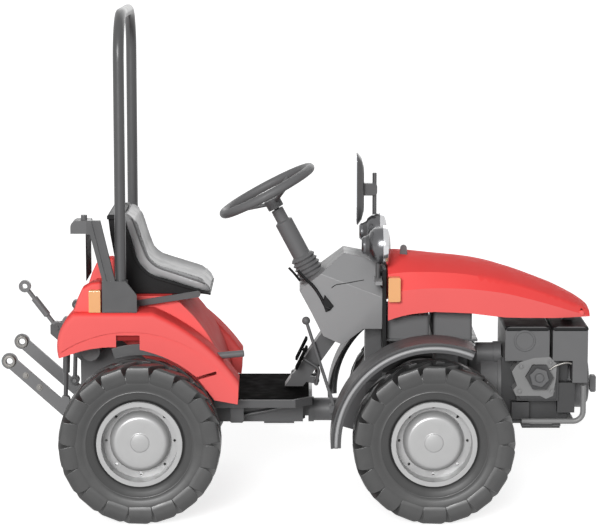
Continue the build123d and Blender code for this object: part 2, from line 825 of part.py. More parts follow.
def pedestal_solid(wall, drop):
    """The body between the fenders under the seat, or its cavity when a wall is given."""
    with BuildPart() as form:
        with BuildSketch(Plane.XZ):
            with BuildLine():
                Polyline(
                    rear(PEDESTAL_FRONT - PEDESTAL_NOSE, PEDESTAL_TOP - wall),
                    rear(PEDESTAL_REAR + wall, PEDESTAL_TOP - wall),
                    rear(PEDESTAL_REAR + wall, PEDESTAL_SKIRT - drop),
                    rear(PEDESTAL_SIDE[0], PEDESTAL_SIDE[1] - drop),
                    rear(PEDESTAL_FRONT - wall, FLOOR_RISE - drop),
                )
                ThreePointArc(
                    rear(PEDESTAL_FRONT - wall, FLOOR_RISE - drop),
                    rear(PEDESTAL_FRONT - PEDESTAL_BROW[0] - wall, PEDESTAL_BROW[1] - wall - drop / 2),
                    rear(PEDESTAL_FRONT - PEDESTAL_NOSE, PEDESTAL_TOP - wall),
                )
            make_face()
        extrude(amount=FENDER_IN - wall, both=True)
    return form.part


with BuildPart() as seat_pedestal:
    add(pedestal_solid(0, 0))
    add(pedestal_solid(BODY_T, BODY_DROP), mode=Mode.SUBTRACT)
save(seat_pedestal, "seat_pedestal")


# Seat
def seat_line(lift):
    """Front lip, bend and top of the seat's upholstered line, lifted square to the shell."""
    lip, bend, back = (Vector(*rear(*spot)) for spot in (SEAT_LIP, SEAT_BEND, SEAT_BACK_TOP))
    pan = (lip - bend).normalized()
    lean = (back - bend).normalized()
    over = Vector(-pan.Y, pan.X)
    square = Vector(lean.Y, -lean.X)
    turn = bend + (square + over) * lift / (1 + square.dot(over))
    return tuple((spot.X, spot.Y) for spot in (lip + over * lift, turn, back + square * lift))


def seat_layer(low, high, half_width):
    """One layer of the seat between two lifts, bent once between pan and back."""
    with BuildPart() as layer:
        with BuildSketch(Plane.XZ):
            with BuildLine():
                under = FilletPolyline(*seat_line(low), radius=SEAT_BEND_R - low)
                over = FilletPolyline(*seat_line(high), radius=SEAT_BEND_R - high)
                Line(under @ 0, over @ 0)
                Line(under @ 1, over @ 1)
            make_face()
        extrude(amount=half_width, both=True)
    return layer.part


with BuildPart() as seat_shell:
    add(seat_layer(0, SEAT_SHELL_T, SEAT_W / 2))
    back_x, back_z = rear(*SEAT_BACK_TOP)
    block(
        (back_x - SEAT_HOOK[0], back_x + SEAT_SHELL_T / 2),
        (-SEAT_W / 2, SEAT_W / 2),
        (back_z - SEAT_HOOK[1], back_z),
    )
    fillet(seat_shell.edges().filter_by(Axis.Y).sort_by(Axis.X)[:2], SEAT_HOOK[1] / 3)
save(seat_shell, "seat_shell")

with BuildPart() as seat_cushion:
    low = SEAT_SHELL_T + SEAT
    add(seat_layer(low, low + CUSHION_T, SEAT_W / 2 - CUSHION_INSET))
    add(seat_layer(low, low + CUSHION_T + BOLSTER_H, SEAT_W / 2 - CUSHION_INSET))
    inner = SEAT_W / 2 - CUSHION_INSET - BOLSTER_W
    add(seat_layer(low + CUSHION_T, low + CUSHION_T + 2 * BOLSTER_H, inner), mode=Mode.SUBTRACT)
save(seat_cushion, "seat_cushion")

# wedge between the pedestal and the sloping pan
SEAT_FLOOR = AZ + PEDESTAL_TOP
with BuildPart() as seat_base:
    under_lip, under_bend = seat_line(0)[:2]
    pan_slope = (under_bend[1] - under_lip[1]) / (under_bend[0] - under_lip[0])
    slab(
        [(RX + x, SEAT_FLOOR) for x in SEAT_BASE]
        + [(RX + x, under_lip[1] + (RX + x - under_lip[0]) * pan_slope) for x in reversed(SEAT_BASE)],
        (-SEAT_BASE_W / 2, SEAT_BASE_W / 2),
    )
    add(seat_shell.part, mode=Mode.SUBTRACT)
save(seat_base, "seat_base")

# Roll-over hoop on its two brackets, each with a strut to the seat's pedestal
HOOP_X = RX - HOOP_BACK
FOOT_Z = AZ + FENDER_TOP
HOOP_LOW = FOOT_Z + HOOP_FOOT_T
HOOP_HIGH = AZ + HOOP_TOP - HOOP_R
with BuildPart() as roll_hoop:
    pipe(
        (
            (HOOP_X, -HOOP_Y, HOOP_LOW),
            (HOOP_X, -HOOP_Y, HOOP_HIGH),
            (HOOP_X, HOOP_Y, HOOP_HIGH),
            (HOOP_X, HOOP_Y, HOOP_LOW),
        ),
        HOOP_R,
        HOOP_BEND,
    )
save(roll_hoop, "roll_hoop")

PLATE_IN = HOOP_Y + HOOP_R + SEAT
PLATE_HIGH = HOOP_LOW + HOOP_PLATE_H
with BuildPart() as hoop_brackets:
    block(
        (RX + HOOP_FOOT[0], RX + HOOP_FOOT[1]),
        (FENDER_IN + FENDER_ROUND, PLATE_IN),
        (FOOT_Z, HOOP_LOW),
    )
    slab(
        (
            (RX + HOOP_FOOT[0], HOOP_LOW - HOOP_FOOT_T),
            (RX + HOOP_FOOT[1], HOOP_LOW - HOOP_FOOT_T),
            (RX + HOOP_FOOT[1], HOOP_LOW + HOOP_PLATE_EDGE),
            (RX + HOOP_PLATE_TOP[1], PLATE_HIGH),
            (RX + HOOP_PLATE_TOP[0], PLATE_HIGH),
        ),
        (PLATE_IN, PLATE_IN + HOOP_PLATE_T),
    )
    with Locations((HOOP_X, HOOP_Y, HOOP_LOW)):
        Cylinder(HOOP_R + SEAT + HOOP_SOCKET_T, HOOP_PLATE_H, align=UP)
        Cylinder(HOOP_R + SEAT, HOOP_PLATE_H, align=UP, mode=Mode.SUBTRACT)
    strut_y = FENDER_IN + FENDER_ROUND
    bar(rear(STRUT[0][0] - STRUT_W, STRUT[0][1]), rear(*STRUT[1]), STRUT_W, (strut_y, strut_y + STRUT_T))
    mirror(about=Plane.XZ)
save(hoop_brackets, "hoop_brackets")

# Plate carrier on the right bracket, with its lamp and blank plate
CARRIER_OUT = PLATE_IN + HOOP_PLATE_T
PLATE_X = RX + CARRIER_TOP[0]
CARRIER_HIGH = PLATE_HIGH + CARRIER_H
with BuildPart() as plate_carrier:
    post = (
        (RX + CARRIER_BASE[0], PLATE_HIGH),
        (RX + CARRIER_BASE[1], PLATE_HIGH),
        (RX + CARRIER_TOP[1], CARRIER_HIGH),
        (PLATE_X, CARRIER_HIGH),
    )
    slab(post, (-CARRIER_OUT, -CARRIER_OUT + CARRIER_W))
    groove = [((post[n][0] + post[n ^ 1][0]) / 2, post[n][1]) for n in (0, 2)]
    bar(groove[0], groove[1], CARRIER_WEB, (-CARRIER_OUT, -CARRIER_OUT + CARRIER_W / 4), mode=Mode.SUBTRACT)
    lean_back = (post[3][0] - post[0][0]) / CARRIER_H
    shelf = CARRIER_HIGH - PLATE_LAMP[2] - PLATE_T
    slab(
        (
            (PLATE_X, shelf),
            (PLATE_X - lean_back * (CARRIER_HIGH - shelf) + CARRIER_WEB, shelf),
            (PLATE_X + CARRIER_WEB, CARRIER_HIGH),
            (PLATE_X, CARRIER_HIGH),
        ),
        (-CARRIER_OUT, -CARRIER_OUT + PLATE_LAMP[1]),
    )
save(plate_carrier, "plate_carrier")

with BuildPart() as number_plate:
    block(
        (PLATE_X - PLATE_T, PLATE_X),
        (-CARRIER_OUT, -CARRIER_OUT + PLATE_W),
        (CARRIER_HIGH - PLATE_LAMP[2] - PLATE_H, CARRIER_HIGH - PLATE_LAMP[2]),
    )
save(number_plate, "rear_plate")

with BuildPart() as plate_lamp:
    lamp_low = CARRIER_HIGH - PLATE_LAMP[2]
    lamp_y = -CARRIER_OUT + PLATE_LAMP[1] / 2
    block(
        (PLATE_X - PLATE_LAMP[0], PLATE_X),
        (-CARRIER_OUT, -CARRIER_OUT + PLATE_LAMP[1]),
        (lamp_low, CARRIER_HIGH),
    )
    fillet(plate_lamp.edges().filter_by(Axis.Y).group_by(Axis.X)[0].sort_by(Axis.Z)[-1], PLATE_LAMP[2] / 2)
    rod(
        (PLATE_X - LAMP_BOLT_R, lamp_y, CARRIER_HIGH),
        (PLATE_X - LAMP_BOLT_R, lamp_y, CARRIER_HIGH + LAMP_BOLT_H),
        LAMP_BOLT_R,
    )
save(plate_lamp, "plate_lamp")

with BuildPart() as rear_lamps:
    for side in (1, -1):
        with Locations((RX - REAR_LAMP_BACK, side * (POD_Y[1] + REAR_LAMP[1] / 2), FOOT_Z)):
            Box(*REAR_LAMP, align=UP)
    fillet(rear_lamps.faces().group_by(Axis.Z)[-1].edges(), REAR_LAMP[0] / 8)
save(rear_lamps, "rear_lamps")

# Lift housing with the rockshaft's boss, on the rear case
ROCK_X, ROCK_Z = rear(*ROCKSHAFT)
with BuildPart() as lift_housing:
    slab(
        (
            rear(LIFT_BACK, REAR_CASE_TOP + LIFT_BOSS_R),
            rear(-REAR_CASE_BACK, REAR_CASE_TOP),
            rear(LIFT_FRONT, REAR_CASE_TOP),
            rear(LIFT_FRONT, LIFT_TOP - 2 * LIFT_BOSS_R),
            rear(LIFT_FRONT - LIFT_BOSS_R, LIFT_TOP),
            rear(LIFT_BACK, LIFT_TOP),
        ),
        (-LIFT_HALF_W, LIFT_HALF_W),
    )
    rod((ROCK_X, -LIFT_BOSS_Y, ROCK_Z), (ROCK_X, LIFT_BOSS_Y, ROCK_Z), LIFT_BOSS_R)
    rod((ROCK_X, -LIFT_BOSS_Y, ROCK_Z), (ROCK_X, LIFT_BOSS_Y, ROCK_Z), ROCKSHAFT_R + RUN, mode=Mode.SUBTRACT)
save(lift_housing, "lift_housing")

# Hitch bracket: plates on the axle for the lower links and cheeks for the top link
PIN_X, PIN_Z = rear(*LINK_PIN)
TOP_X, TOP_Z = rear(*TOP_PIN)
LINK_INNER = LINK_Y - LINK_T / 2
LINK_OUTER = LINK_Y + LINK_T / 2
with BuildPart() as hitch_bracket:
    for side in (1, -1):
        edges = sorted((side * HITCH_PLATE_IN, side * (HITCH_PLATE_IN + HITCH_PLATE_T)))
        slab(
            (
                (PIN_X - LINK_EYE_R, PIN_Z - LINK_EYE_R),
                (RX, AZ - AXLE_FLANGE_R),
                (RX + AXLE_FLANGE_R, AZ),
                (RX, AZ + AXLE_FLANGE_R),
                (PIN_X - LINK_EYE_R, PIN_Z + LINK_EYE_R),
            ),
            edges,
        )
        rod((RX, edges[0], AZ), (RX, edges[1], AZ), AXLE_TUBE_R + SEAT, mode=Mode.SUBTRACT)
        rod((PIN_X, side * HITCH_PLATE_IN, PIN_Z), (PIN_X, side * (LINK_OUTER + 2 * PIN_PROUD), PIN_Z), LINK_PIN_R)
        cheek = sorted((side * (TOP_LINK_T / 2 + END_PLAY), side * (TOP_LINK_T / 2 + END_PLAY + TOP_CHEEK_T)))
        slab(
            (
                rear(LIFT_BACK, REAR_CASE_TOP + 3 * LIFT_BOSS_R),
                rear(LIFT_BACK, LIFT_TOP),
                (TOP_X + TOP_EYE_R, TOP_Z + TOP_EYE_R),
                (TOP_X - TOP_EYE_R, TOP_Z + TOP_EYE_R / 2),
                (TOP_X - TOP_EYE_R, TOP_Z - TOP_EYE_R),
            ),
            cheek,
        )
    cheek_out = TOP_LINK_T / 2 + END_PLAY + TOP_CHEEK_T + PIN_PROUD
    rod((TOP_X, -cheek_out, TOP_Z), (TOP_X, cheek_out, TOP_Z), TOP_PIN_R)
save(hitch_bracket, "hitch_bracket")

# Lower links, raised, with a lug for each lift rod
LINK_RUN = Vector(-cos(radians(LINK_RISE)), sin(radians(LINK_RISE)))
LINK_OVER = Vector(sin(radians(LINK_RISE)), cos(radians(LINK_RISE)))
LINK_END = Vector(PIN_X, PIN_Z) + LINK_RUN * LINK_L
ROD_LOW = Vector(PIN_X, PIN_Z) + LINK_RUN * ROD_AT + LINK_OVER * ROD_OFF
ROD_FOOT = Vector(PIN_X, PIN_Z) + LINK_RUN * ROD_AT
ROD_HIGH = ROD_LOW + Vector(ROCK_X - PIN_X, ROCK_Z - PIN_Z)
with BuildPart() as lower_links:
    for side in (1, -1):
        edges = sorted((side * LINK_INNER, side * LINK_OUTER))
        bar((PIN_X, PIN_Z), (LINK_END.X, LINK_END.Y), LINK_H, edges)
        rod((LINK_END.X, edges[0], LINK_END.Y), (LINK_END.X, edges[1], LINK_END.Y), LINK_EYE_R)
        bar((ROD_FOOT.X, ROD_FOOT.Y), (ROD_LOW.X, ROD_LOW.Y), 2 * ARM_END_R, edges)
        for spot, radius in (((PIN_X, PIN_Z), LINK_PIN_R + RUN), ((LINK_END.X, LINK_END.Y), LINK_BORE_R)):
            rod((spot[0], edges[0], spot[1]), (spot[0], edges[1], spot[1]), radius, mode=Mode.SUBTRACT)
        inner = side * (LINK_INNER - ROD_SPACE - ROD_EYE_T - PIN_PROUD)
        rod((ROD_LOW.X, inner, ROD_LOW.Y), (ROD_LOW.X, side * LINK_OUTER, ROD_LOW.Y), ROD_PIN_R)
save(lower_links, "lower_links")

# Lift arms on the rockshaft, in line with the links
ARM_EDGE = LINK_INNER
with BuildPart() as lift_arms:
    rod((ROCK_X, -LINK_OUTER, ROCK_Z), (ROCK_X, LINK_OUTER, ROCK_Z), ROCKSHAFT_R)
    for side in (1, -1):
        edges = sorted((side * ARM_EDGE, side * (ARM_EDGE + ARM_T)))
        bar((ROCK_X, ROCK_Z), (ROD_HIGH.X, ROD_HIGH.Y), 2 * ARM_END_R, edges)
        rod((ROCK_X, edges[0], ROCK_Z), (ROCK_X, edges[1], ROCK_Z), LIFT_BOSS_R)
        inner = side * (LINK_INNER - ROD_SPACE - ROD_EYE_T - PIN_PROUD)
        rod((ROD_HIGH.X, inner, ROD_HIGH.Y), (ROD_HIGH.X, side * (ARM_EDGE + ARM_T), ROD_HIGH.Y), ROD_PIN_R)
save(lift_arms, "lift_arms")

# Lift rods, inside the links and arms
ROD_MIDDLE = LINK_INNER - ROD_SPACE - ROD_EYE_T / 2
ROD_RUN = (ROD_HIGH - ROD_LOW).normalized()
with BuildPart() as lift_rods:
    for side in (1, -1):
        y = side * ROD_MIDDLE
        rod((ROD_LOW.X, y, ROD_LOW.Y), (ROD_HIGH.X, y, ROD_HIGH.Y), ROD_R)
        middle = (ROD_LOW + ROD_HIGH) / 2
        ends = (middle - ROD_RUN * ROD_BARREL_L / 2, middle + ROD_RUN * ROD_BARREL_L / 2)
        rod((ends[0].X, y, ends[0].Y), (ends[1].X, y, ends[1].Y), ROD_BARREL_R)
        for spot in (ROD_LOW, ROD_HIGH):
            edges = (y - ROD_EYE_T / 2, y + ROD_EYE_T / 2)
            rod((spot.X, edges[0], spot.Y), (spot.X, edges[1], spot.Y), ARM_END_R)
            rod((spot.X, edges[0], spot.Y), (spot.X, edges[1], spot.Y), ROD_PIN_R + RUN, mode=Mode.SUBTRACT)
save(lift_rods, "lift_rods")

# Top link, raised
TOP_RUN = Vector(-cos(radians(TOP_LINK_RISE)), sin(radians(TOP_LINK_RISE)))
TOP_END = Vector(TOP_X, TOP_Z) + TOP_RUN * TOP_LINK_L
with BuildPart() as top_link:
    rod((TOP_X, 0, TOP_Z), (TOP_END.X, 0, TOP_END.Y), TOP_ROD_R)
    middle = (Vector(TOP_X, TOP_Z) + TOP_END) / 2
    ends = (middle - TOP_RUN * TOP_BARREL_L / 2, middle + TOP_RUN * TOP_BARREL_L / 2)
    rod((ends[0].X, 0, ends[0].Y), (ends[1].X, 0, ends[1].Y), TOP_BARREL_R)
    for spot in (Vector(TOP_X, TOP_Z), TOP_END):
        rod((spot.X, -TOP_LINK_T / 2, spot.Y), (spot.X, TOP_LINK_T / 2, spot.Y), TOP_EYE_R)
    for spot, radius in ((Vector(TOP_X, TOP_Z), TOP_PIN_R + RUN), (TOP_END, TOP_BORE_R)):
        rod((spot.X, -TOP_LINK_T / 2, spot.Y), (spot.X, TOP_LINK_T / 2, spot.Y), radius, mode=Mode.SUBTRACT)
save(top_link, "top_link")

with BuildPart() as hand_lever:
    low, high = (rear(*spot) for spot in HAND_LEVER)
    rod((low[0], HAND_LEVER_Y, low[1]), (high[0], HAND_LEVER_Y, high[1]), HAND_LEVER_R)
    fillet(hand_lever.edges().sort_by(Axis.X)[-1], HAND_LEVER_R / 3)
    add(fender_solid(0, 0), mode=Mode.SUBTRACT)
    mirror(about=Plane.XZ, mode=Mode.REPLACE)
save(hand_lever, "hand_lever")

# Front case: knuckle on the kingpin, swivel tube and transmission
with BuildPart() as front_case:
    with Locations((PX, 0, KNUCKLE_LOW)):
        Cylinder(KNUCKLE_R, KNUCKLE_H, align=UP)
    block((PX, PX + TUBE_START), (-NECK_W / 2, NECK_W / 2), (KNUCKLE_LOW, KNUCKLE_HIGH))
    rod((PX + TUBE_START, 0, TUBE_Z), (PX + TUBE_START + TUBE_FLANGE_T, 0, TUBE_Z), TUBE_FLANGE_R)
    rod((PX + TUBE_START, 0, TUBE_Z), (PX + FRONT_CASE_TAIL, 0, TUBE_Z), TUBE_R)
    slab(
        (
            (PX + FRONT_CASE_TAIL, TUBE_Z - CASE_TAIL_H / 2),
            front(-CASE_ROUND_R, -FRONT_CASE_BOTTOM),
            front(FRONT_CASE_FRONT, -FRONT_CASE_BOTTOM),
            front(FRONT_CASE_FRONT, FRONT_CASE_TOP),
            front(REAR_LEG[0], FRONT_CASE_TOP),
            (PX + FRONT_CASE_TAIL, TUBE_Z + CASE_TAIL_H / 2),
        ),
        (-CASE_W / 2, CASE_W / 2),
    )
    with BuildSketch(Plane.XY) as tail:
        with BuildLine():
            Polyline(
                (PX + FRONT_CASE_TAIL, TUBE_R),
                (FX + REAR_LEG[0], CASE_W / 2),
                (PX + FRONT_CASE_TAIL, CASE_W / 2),
                close=True,
            )
        make_face()
        mirror(about=Plane.XZ)
    extrude(amount=2 * TYRE_R, mode=Mode.SUBTRACT)
    rod((FX, -CASE_W / 2, AZ), (FX, CASE_W / 2, AZ), CASE_ROUND_R)
    rod((PX, 0, KNUCKLE_LOW), (PX, 0, KNUCKLE_HIGH), KINGPIN_R + RUN, mode=Mode.SUBTRACT)
    block(
        (PX + LEVER_FOOT[0] - LEVER_KNOB_R, PX + LEVER_FOOT[0] + LEVER_KNOB_R),
        (LEVER_Y - LEVER_KNOB_R, 0),
        (TUBE_Z, AZ + LEVER_FOOT[1] + LEVER_BOSS_H),
    )
save(front_case, "front_case")

with BuildPart() as front_axle:
    axle_tubes(FX)
save(front_axle, "front_axle")

with BuildPart() as clutch_housing:
    with BuildSketch(Plane.XZ):
        with BuildLine():
            Polyline(
                (FX + FRONT_CASE_FRONT, CRANK_Z),
                (FX + FRONT_CASE_FRONT, CRANK_Z + CLUTCH_NECK_R),
                (FX + FRONT_CASE_FRONT + CLUTCH_L / 3, CRANK_Z + CLUTCH_R),
                (EX - CLUTCH_FLANGE_T, CRANK_Z + CLUTCH_R),
                (EX - CLUTCH_FLANGE_T, CRANK_Z + CLUTCH_FLANGE_R),
                (EX, CRANK_Z + CLUTCH_FLANGE_R),
                (EX, CRANK_Z),
                close=True,
            )
        make_face()
    revolve(axis=Axis((0, 0, CRANK_Z), (1, 0, 0)))
    split(bisect_by=Plane.XY.offset(BED_Z), keep=Keep.TOP)
    neck_z = AZ + NECK_RISE
    rod((EX + NECK[0], NECK_Y, neck_z), (EX, NECK_Y, neck_z), NECK_R)
    rod((EX + NECK[1], NECK_Y, neck_z), (EX, NECK_Y, neck_z), NECK_FLANGE_R)
save(clutch_housing, "clutch_housing")

# Engine: crankcase, finned cylinder to the right and its valve cover
ENGINE_HIGH = AZ + ENGINE_TOP
with BuildPart() as engine:
    block((EX, EX + ENGINE_L), (-ENGINE_HALF_W, ENGINE_HALF_W), (BED_Z, ENGINE_HIGH))
    block(
        (EX + CYLINDER[0], EX + CYLINDER[1]),
        (-CYLINDER_OUT, 0),
        (AZ + CYLINDER_Z[0], AZ + CYLINDER_Z[1]),
    )
    for n in range(FIN_COUNT):
        fin = -ENGINE_HALF_W - (n + 1) * (CYLINDER_OUT - ENGINE_HALF_W) / (FIN_COUNT + 1)
        block(
            (EX + CYLINDER[0] - FIN_H, EX + CYLINDER[1] + FIN_H),
            (fin, fin + FIN_T),
            (AZ + CYLINDER_Z[0] - FIN_H, AZ + CYLINDER_Z[1]),
        )
    with BuildSketch(Plane.XZ.offset(CYLINDER_OUT)):
        with Locations((EX + HEX_AT[0], AZ + HEX_AT[1])):
            RegularPolygon(HEX_R, 6)
    extrude(amount=HEX_T)
    hex_out = CYLINDER_OUT + HEX_T
    for radius, reach in ((HEX_BOSS_R, HEX_STEP), (HEX_BOLT_R, 2 * HEX_STEP)):
        rod(
            (EX + HEX_AT[0], -hex_out, AZ + HEX_AT[1]),
            (EX + HEX_AT[0], -hex_out - reach, AZ + HEX_AT[1]),
            radius,
        )
    for x, z in ((CARB, CARB_Z), (OIL_BOX, OIL_BOX_Z)):
        block((EX + x[0], EX + x[1]), (-SIDE_BOX_OUT, -ENGINE_HALF_W), (AZ + z[0], AZ + z[1]))
save(engine, "engine")

with BuildPart() as engine_covers:
    for start, end in COVERS:
        block((EX + start, EX + end), COVER_Y, (ENGINE_HIGH, ENGINE_HIGH + COVER_H))
    fillet(engine_covers.edges().filter_by(Axis.Y).group_by(Axis.Z)[-1], COVER_ROUND)
    block(
        (EX + COVER_DROP[0], EX + COVER_DROP[1]),
        COVER_DROP_Y,
        (ENGINE_HIGH - COVER_DROP_H, ENGINE_HIGH),
    )
save(engine_covers, "engine_covers")

with BuildPart() as silencer:
    block(
        (EX + SILENCER[0], EX + SILENCER[1]),
        SILENCER_Y,
        (AZ + SILENCER_Z[0], AZ + SILENCER_Z[1]),
    )
    fillet(silencer.edges().filter_by(Axis.X), COVER_ROUND)
    pipe_x = EX + (SILENCER[0] + SILENCER[1]) / 2
    pipe_z = AZ + (SILENCER_Z[0] + SILENCER_Z[1]) / 2
    rod((pipe_x, ENGINE_HALF_W, pipe_z), (pipe_x, SILENCER_Y[0], pipe_z), SILENCER_PIPE_R)
save(silencer, "silencer")

with BuildPart() as recoil_starter:
    recoil_front = FX + ENGINE_FRONT + RECOIL_L
    rod((FX + ENGINE_FRONT, 0, CRANK_Z), (recoil_front, 0, CRANK_Z), RECOIL_R)
    chamfer(recoil_starter.faces().sort_by(Axis.X)[-1].edges(), RECOIL_L / 4)
    rod((recoil_front, GRIP_Y, CRANK_Z), (recoil_front + GRIP_ROPE, GRIP_Y, CRANK_Z), GRIP_ROPE_R)
    with Locations((recoil_front + GRIP_ROPE + GRIP_L / 2, GRIP_Y, CRANK_Z)):
        grip = Box(GRIP_L, 2 * GRIP_R, GRIP_H)
    fillet(grip.edges().filter_by(Axis.Y), GRIP_L / 3)
save(recoil_starter, "recoil_starter")

# Engine bed with skid and the arms of the guard
BED_LOW = BED_Z - BED_T
with BuildPart() as engine_bed:
    block((EX, EX + ENGINE_L), (-BED_HALF_W, BED_HALF_W), (BED_LOW, BED_Z))
    block((EX + SKID[0], EX + SKID[1]), (-SKID_HALF_W, SKID_HALF_W), (BED_LOW - SKID_H, BED_LOW))
    for arm in GUARD_ARMS:
        block(
            (EX + arm, EX + arm + GUARD_ARM_W),
            (-GUARD_Y - GUARD_R, GUARD_Y + GUARD_R),
            (BED_LOW, BED_LOW + GUARD_ARM_T),
        )
save(engine_bed, "engine_bed")

GUARD_Z = BED_LOW + GUARD_ARM_T + SEAT + GUARD_R
with BuildPart() as guard_tube:
    for side in (1, -1):
        pipe(
            (
                (EX + GUARD_ARMS[0], side * GUARD_Y, GUARD_Z),
                (EX + GUARD_FRONT, side * GUARD_Y, GUARD_Z),
                (EX + GUARD_FRONT, side * GUARD_Y, AZ + GUARD_TOP),
            ),
            GUARD_R,
            GUARD_BEND,
        )
    cross_x = EX + ENGINE_L + GUARD_R + SEAT
    rod((cross_x, -GUARD_Y, GUARD_Z), (cross_x, GUARD_Y, GUARD_Z), GUARD_R)
save(guard_tube, "guard_tube")

# Frame under the hood: two legs on the case and a tray
TRAY_LOW = TRAY_Z - TRAY_T
CASE_HIGH = AZ + FRONT_CASE_TOP
with BuildPart() as hood_frame:
    block((FX + TRAY[0], FX + TRAY[1]), (-TRAY_HALF_W, TRAY_HALF_W), (TRAY_LOW, TRAY_Z))
    block(
        (FX + REAR_LEG[0], FX + REAR_LEG[1]),
        (-LEG_HALF_W, LEG_HALF_W),
        (CASE_HIGH, AZ + CONSOLE_SEAT),
    )
    block((FX + FRONT_LEG[0], FX + FRONT_LEG[1]), (-LEG_HALF_W, LEG_HALF_W), (CASE_HIGH, TRAY_LOW))
save(hood_frame, "hood_frame")

# boxes under the hood: battery, fuel tank and filter, with their spans along X, Y and Z
UNDER_HOOD = (
    (BATTERY, (-BATTERY_HALF_W, BATTERY_HALF_W), (TRAY_Z, TRAY_Z + BATTERY_H)),
    (TANK, (-TANK_HALF_W, TANK_HALF_W), (TRAY_Z, TRAY_Z + TANK_H)),
    (FILTER, FILTER_Y, (TRAY_LOW - FILTER_H, TRAY_LOW)),
)
with BuildPart() as hood_boxes:
    for x, y, z in UNDER_HOOD:
        block((FX + x[0], FX + x[1]), y, z)
    fillet(hood_boxes.edges().filter_by(Axis.Z), BOX_ROUND)
save(hood_boxes, "hood_boxes")

# Front fenders with a lip outside and a stay from the tray
with BuildPart() as front_fender_left:
    sweep_angle = FRONT_FENDER_TO - FRONT_FENDER_FROM
    # depth of the band below the outer radius, inner and outer Y
    bands = (
        (FRONT_FENDER_T, FRONT_FENDER_IN, FRONT_FENDER_OUT),
        (FRONT_FENDER_LIP, FRONT_FENDER_OUT - FRONT_FENDER_T, FRONT_FENDER_OUT),
        (FRONT_FENDER_BEAD[0], FRONT_FENDER_OUT, FRONT_FENDER_OUT + FRONT_FENDER_BEAD[1]),
    )
    for depth, inner, outer in bands:
        with BuildSketch(Plane.XZ.offset(-outer)):
            with BuildLine():
                over = CenterArc((FX, AZ), FRONT_FENDER_R, FRONT_FENDER_FROM, sweep_angle)
                under = CenterArc((FX, AZ), FRONT_FENDER_R - depth, FRONT_FENDER_FROM, sweep_angle)
                Line(over @ 0, under @ 0)
                Line(over @ 1, under @ 1)
            make_face()
        extrude(amount=outer - inner)
    stay_z = AZ + FRONT_FENDER_R - FRONT_FENDER_T / 2
    with BuildSketch(Plane.YZ.offset(FX - STAY_W / 2)):
        with BuildLine():
            Polyline(
                (TRAY_HALF_W, TRAY_LOW),
                (TRAY_HALF_W, TRAY_Z),
                (FRONT_FENDER_IN, stay_z),
                (STAY_REACH, stay_z),
                (STAY_REACH, stay_z - STAY_T),
                (FRONT_FENDER_IN + STAY_T, stay_z - STAY_T),
                close=True,
            )
        make_face()
    extrude(amount=STAY_W)
save(front_fender_left, "front_fender_left")
with BuildPart() as front_fender_right:
    mirror(front_fender_left.part, about=Plane.XZ)
save(front_fender_right, "front_fender_right")


def hood_solid(wall, start):
    """The hood's outer form, or its cavity when a wall is given, lofted from the rear to the nose."""
    with BuildPart() as form:
        for n, (x, bottom, waist, shoulder, waist_z, shoulder_z, ridge) in enumerate(HOOD_SECTIONS):
            nose = n == len(HOOD_SECTIONS) - 1
            with BuildSketch(Plane.YZ.offset(FX + (start if n == 0 else x - wall * nose))):
                with BuildLine():
                    Polyline(
                        (shoulder - wall, AZ + shoulder_z - wall),
                        (waist - wall, AZ + waist_z),
                        (bottom - wall, AZ + HOOD_FLOOR),
                        (-bottom + wall, AZ + HOOD_FLOOR),
                        (-waist + wall, AZ + waist_z),
                        (-shoulder + wall, AZ + shoulder_z - wall),
                    )
                    ThreePointArc(
                        (-shoulder + wall, AZ + shoulder_z - wall),
                        (0, AZ + ridge - wall),
                        (shoulder - wall, AZ + shoulder_z - wall),
                    )
                make_face()
        loft()
    return form.part


HINGE_X, HINGE_Z = front(*HOOD_PIN)
HOOD_REAR = HOOD_SECTIONS[0][0]
with BuildPart() as hood_cavity:
    add(hood_solid(HOOD_T, HOOD_REAR - HOOD_T))
    for side in (1, -1):
        edges = sorted((side * HOOD_LUG_IN, side * (HOOD_LUG_IN + HOOD_LUG_T)))
        block(
            (HINGE_X - HOOD_LUG_L / 2, HINGE_X + HOOD_LUG_L / 2),
            edges,
            (AZ + HOOD_FLOOR, HINGE_Z + 2 * HOOD_LUG_L),
            mode=Mode.SUBTRACT,
        )
with BuildPart() as hood:
    add(hood_solid(0, HOOD_REAR))
    add(hood_cavity.part, mode=Mode.SUBTRACT)
    with BuildSketch(Plane.XZ):
        with BuildLine():
            ThreePointArc(
                front(HOOD_REAR, HOOD_EDGE_REAR),
                front(*HOOD_EDGE_MID),
                front(*HOOD_EDGE_TOP),
            )
            Polyline(
                front(*HOOD_EDGE_TOP),
                front(*HOOD_EDGE_FLAT),
                front(*HOOD_EDGE_FRONT),
                front(HOOD_EDGE_FRONT[0] + HOOD_T, HOOD_EDGE_FRONT[1]),
                front(HOOD_EDGE_FRONT[0] + HOOD_T, HOOD_FLOOR - HOOD_T),
                front(HOOD_REAR - HOOD_T, HOOD_FLOOR - HOOD_T),
                front(HOOD_REAR - HOOD_T, HOOD_EDGE_REAR),
                front(HOOD_REAR, HOOD_EDGE_REAR),
            )
        make_face()
    extrude(amount=TRACK / 2, both=True, mode=Mode.SUBTRACT)
    rod((HINGE_X, -TRACK / 2, HINGE_Z), (HINGE_X, TRACK / 2, HINGE_Z), HOOD_PIN_R + RUN, mode=Mode.SUBTRACT)
save(hood, "hood")

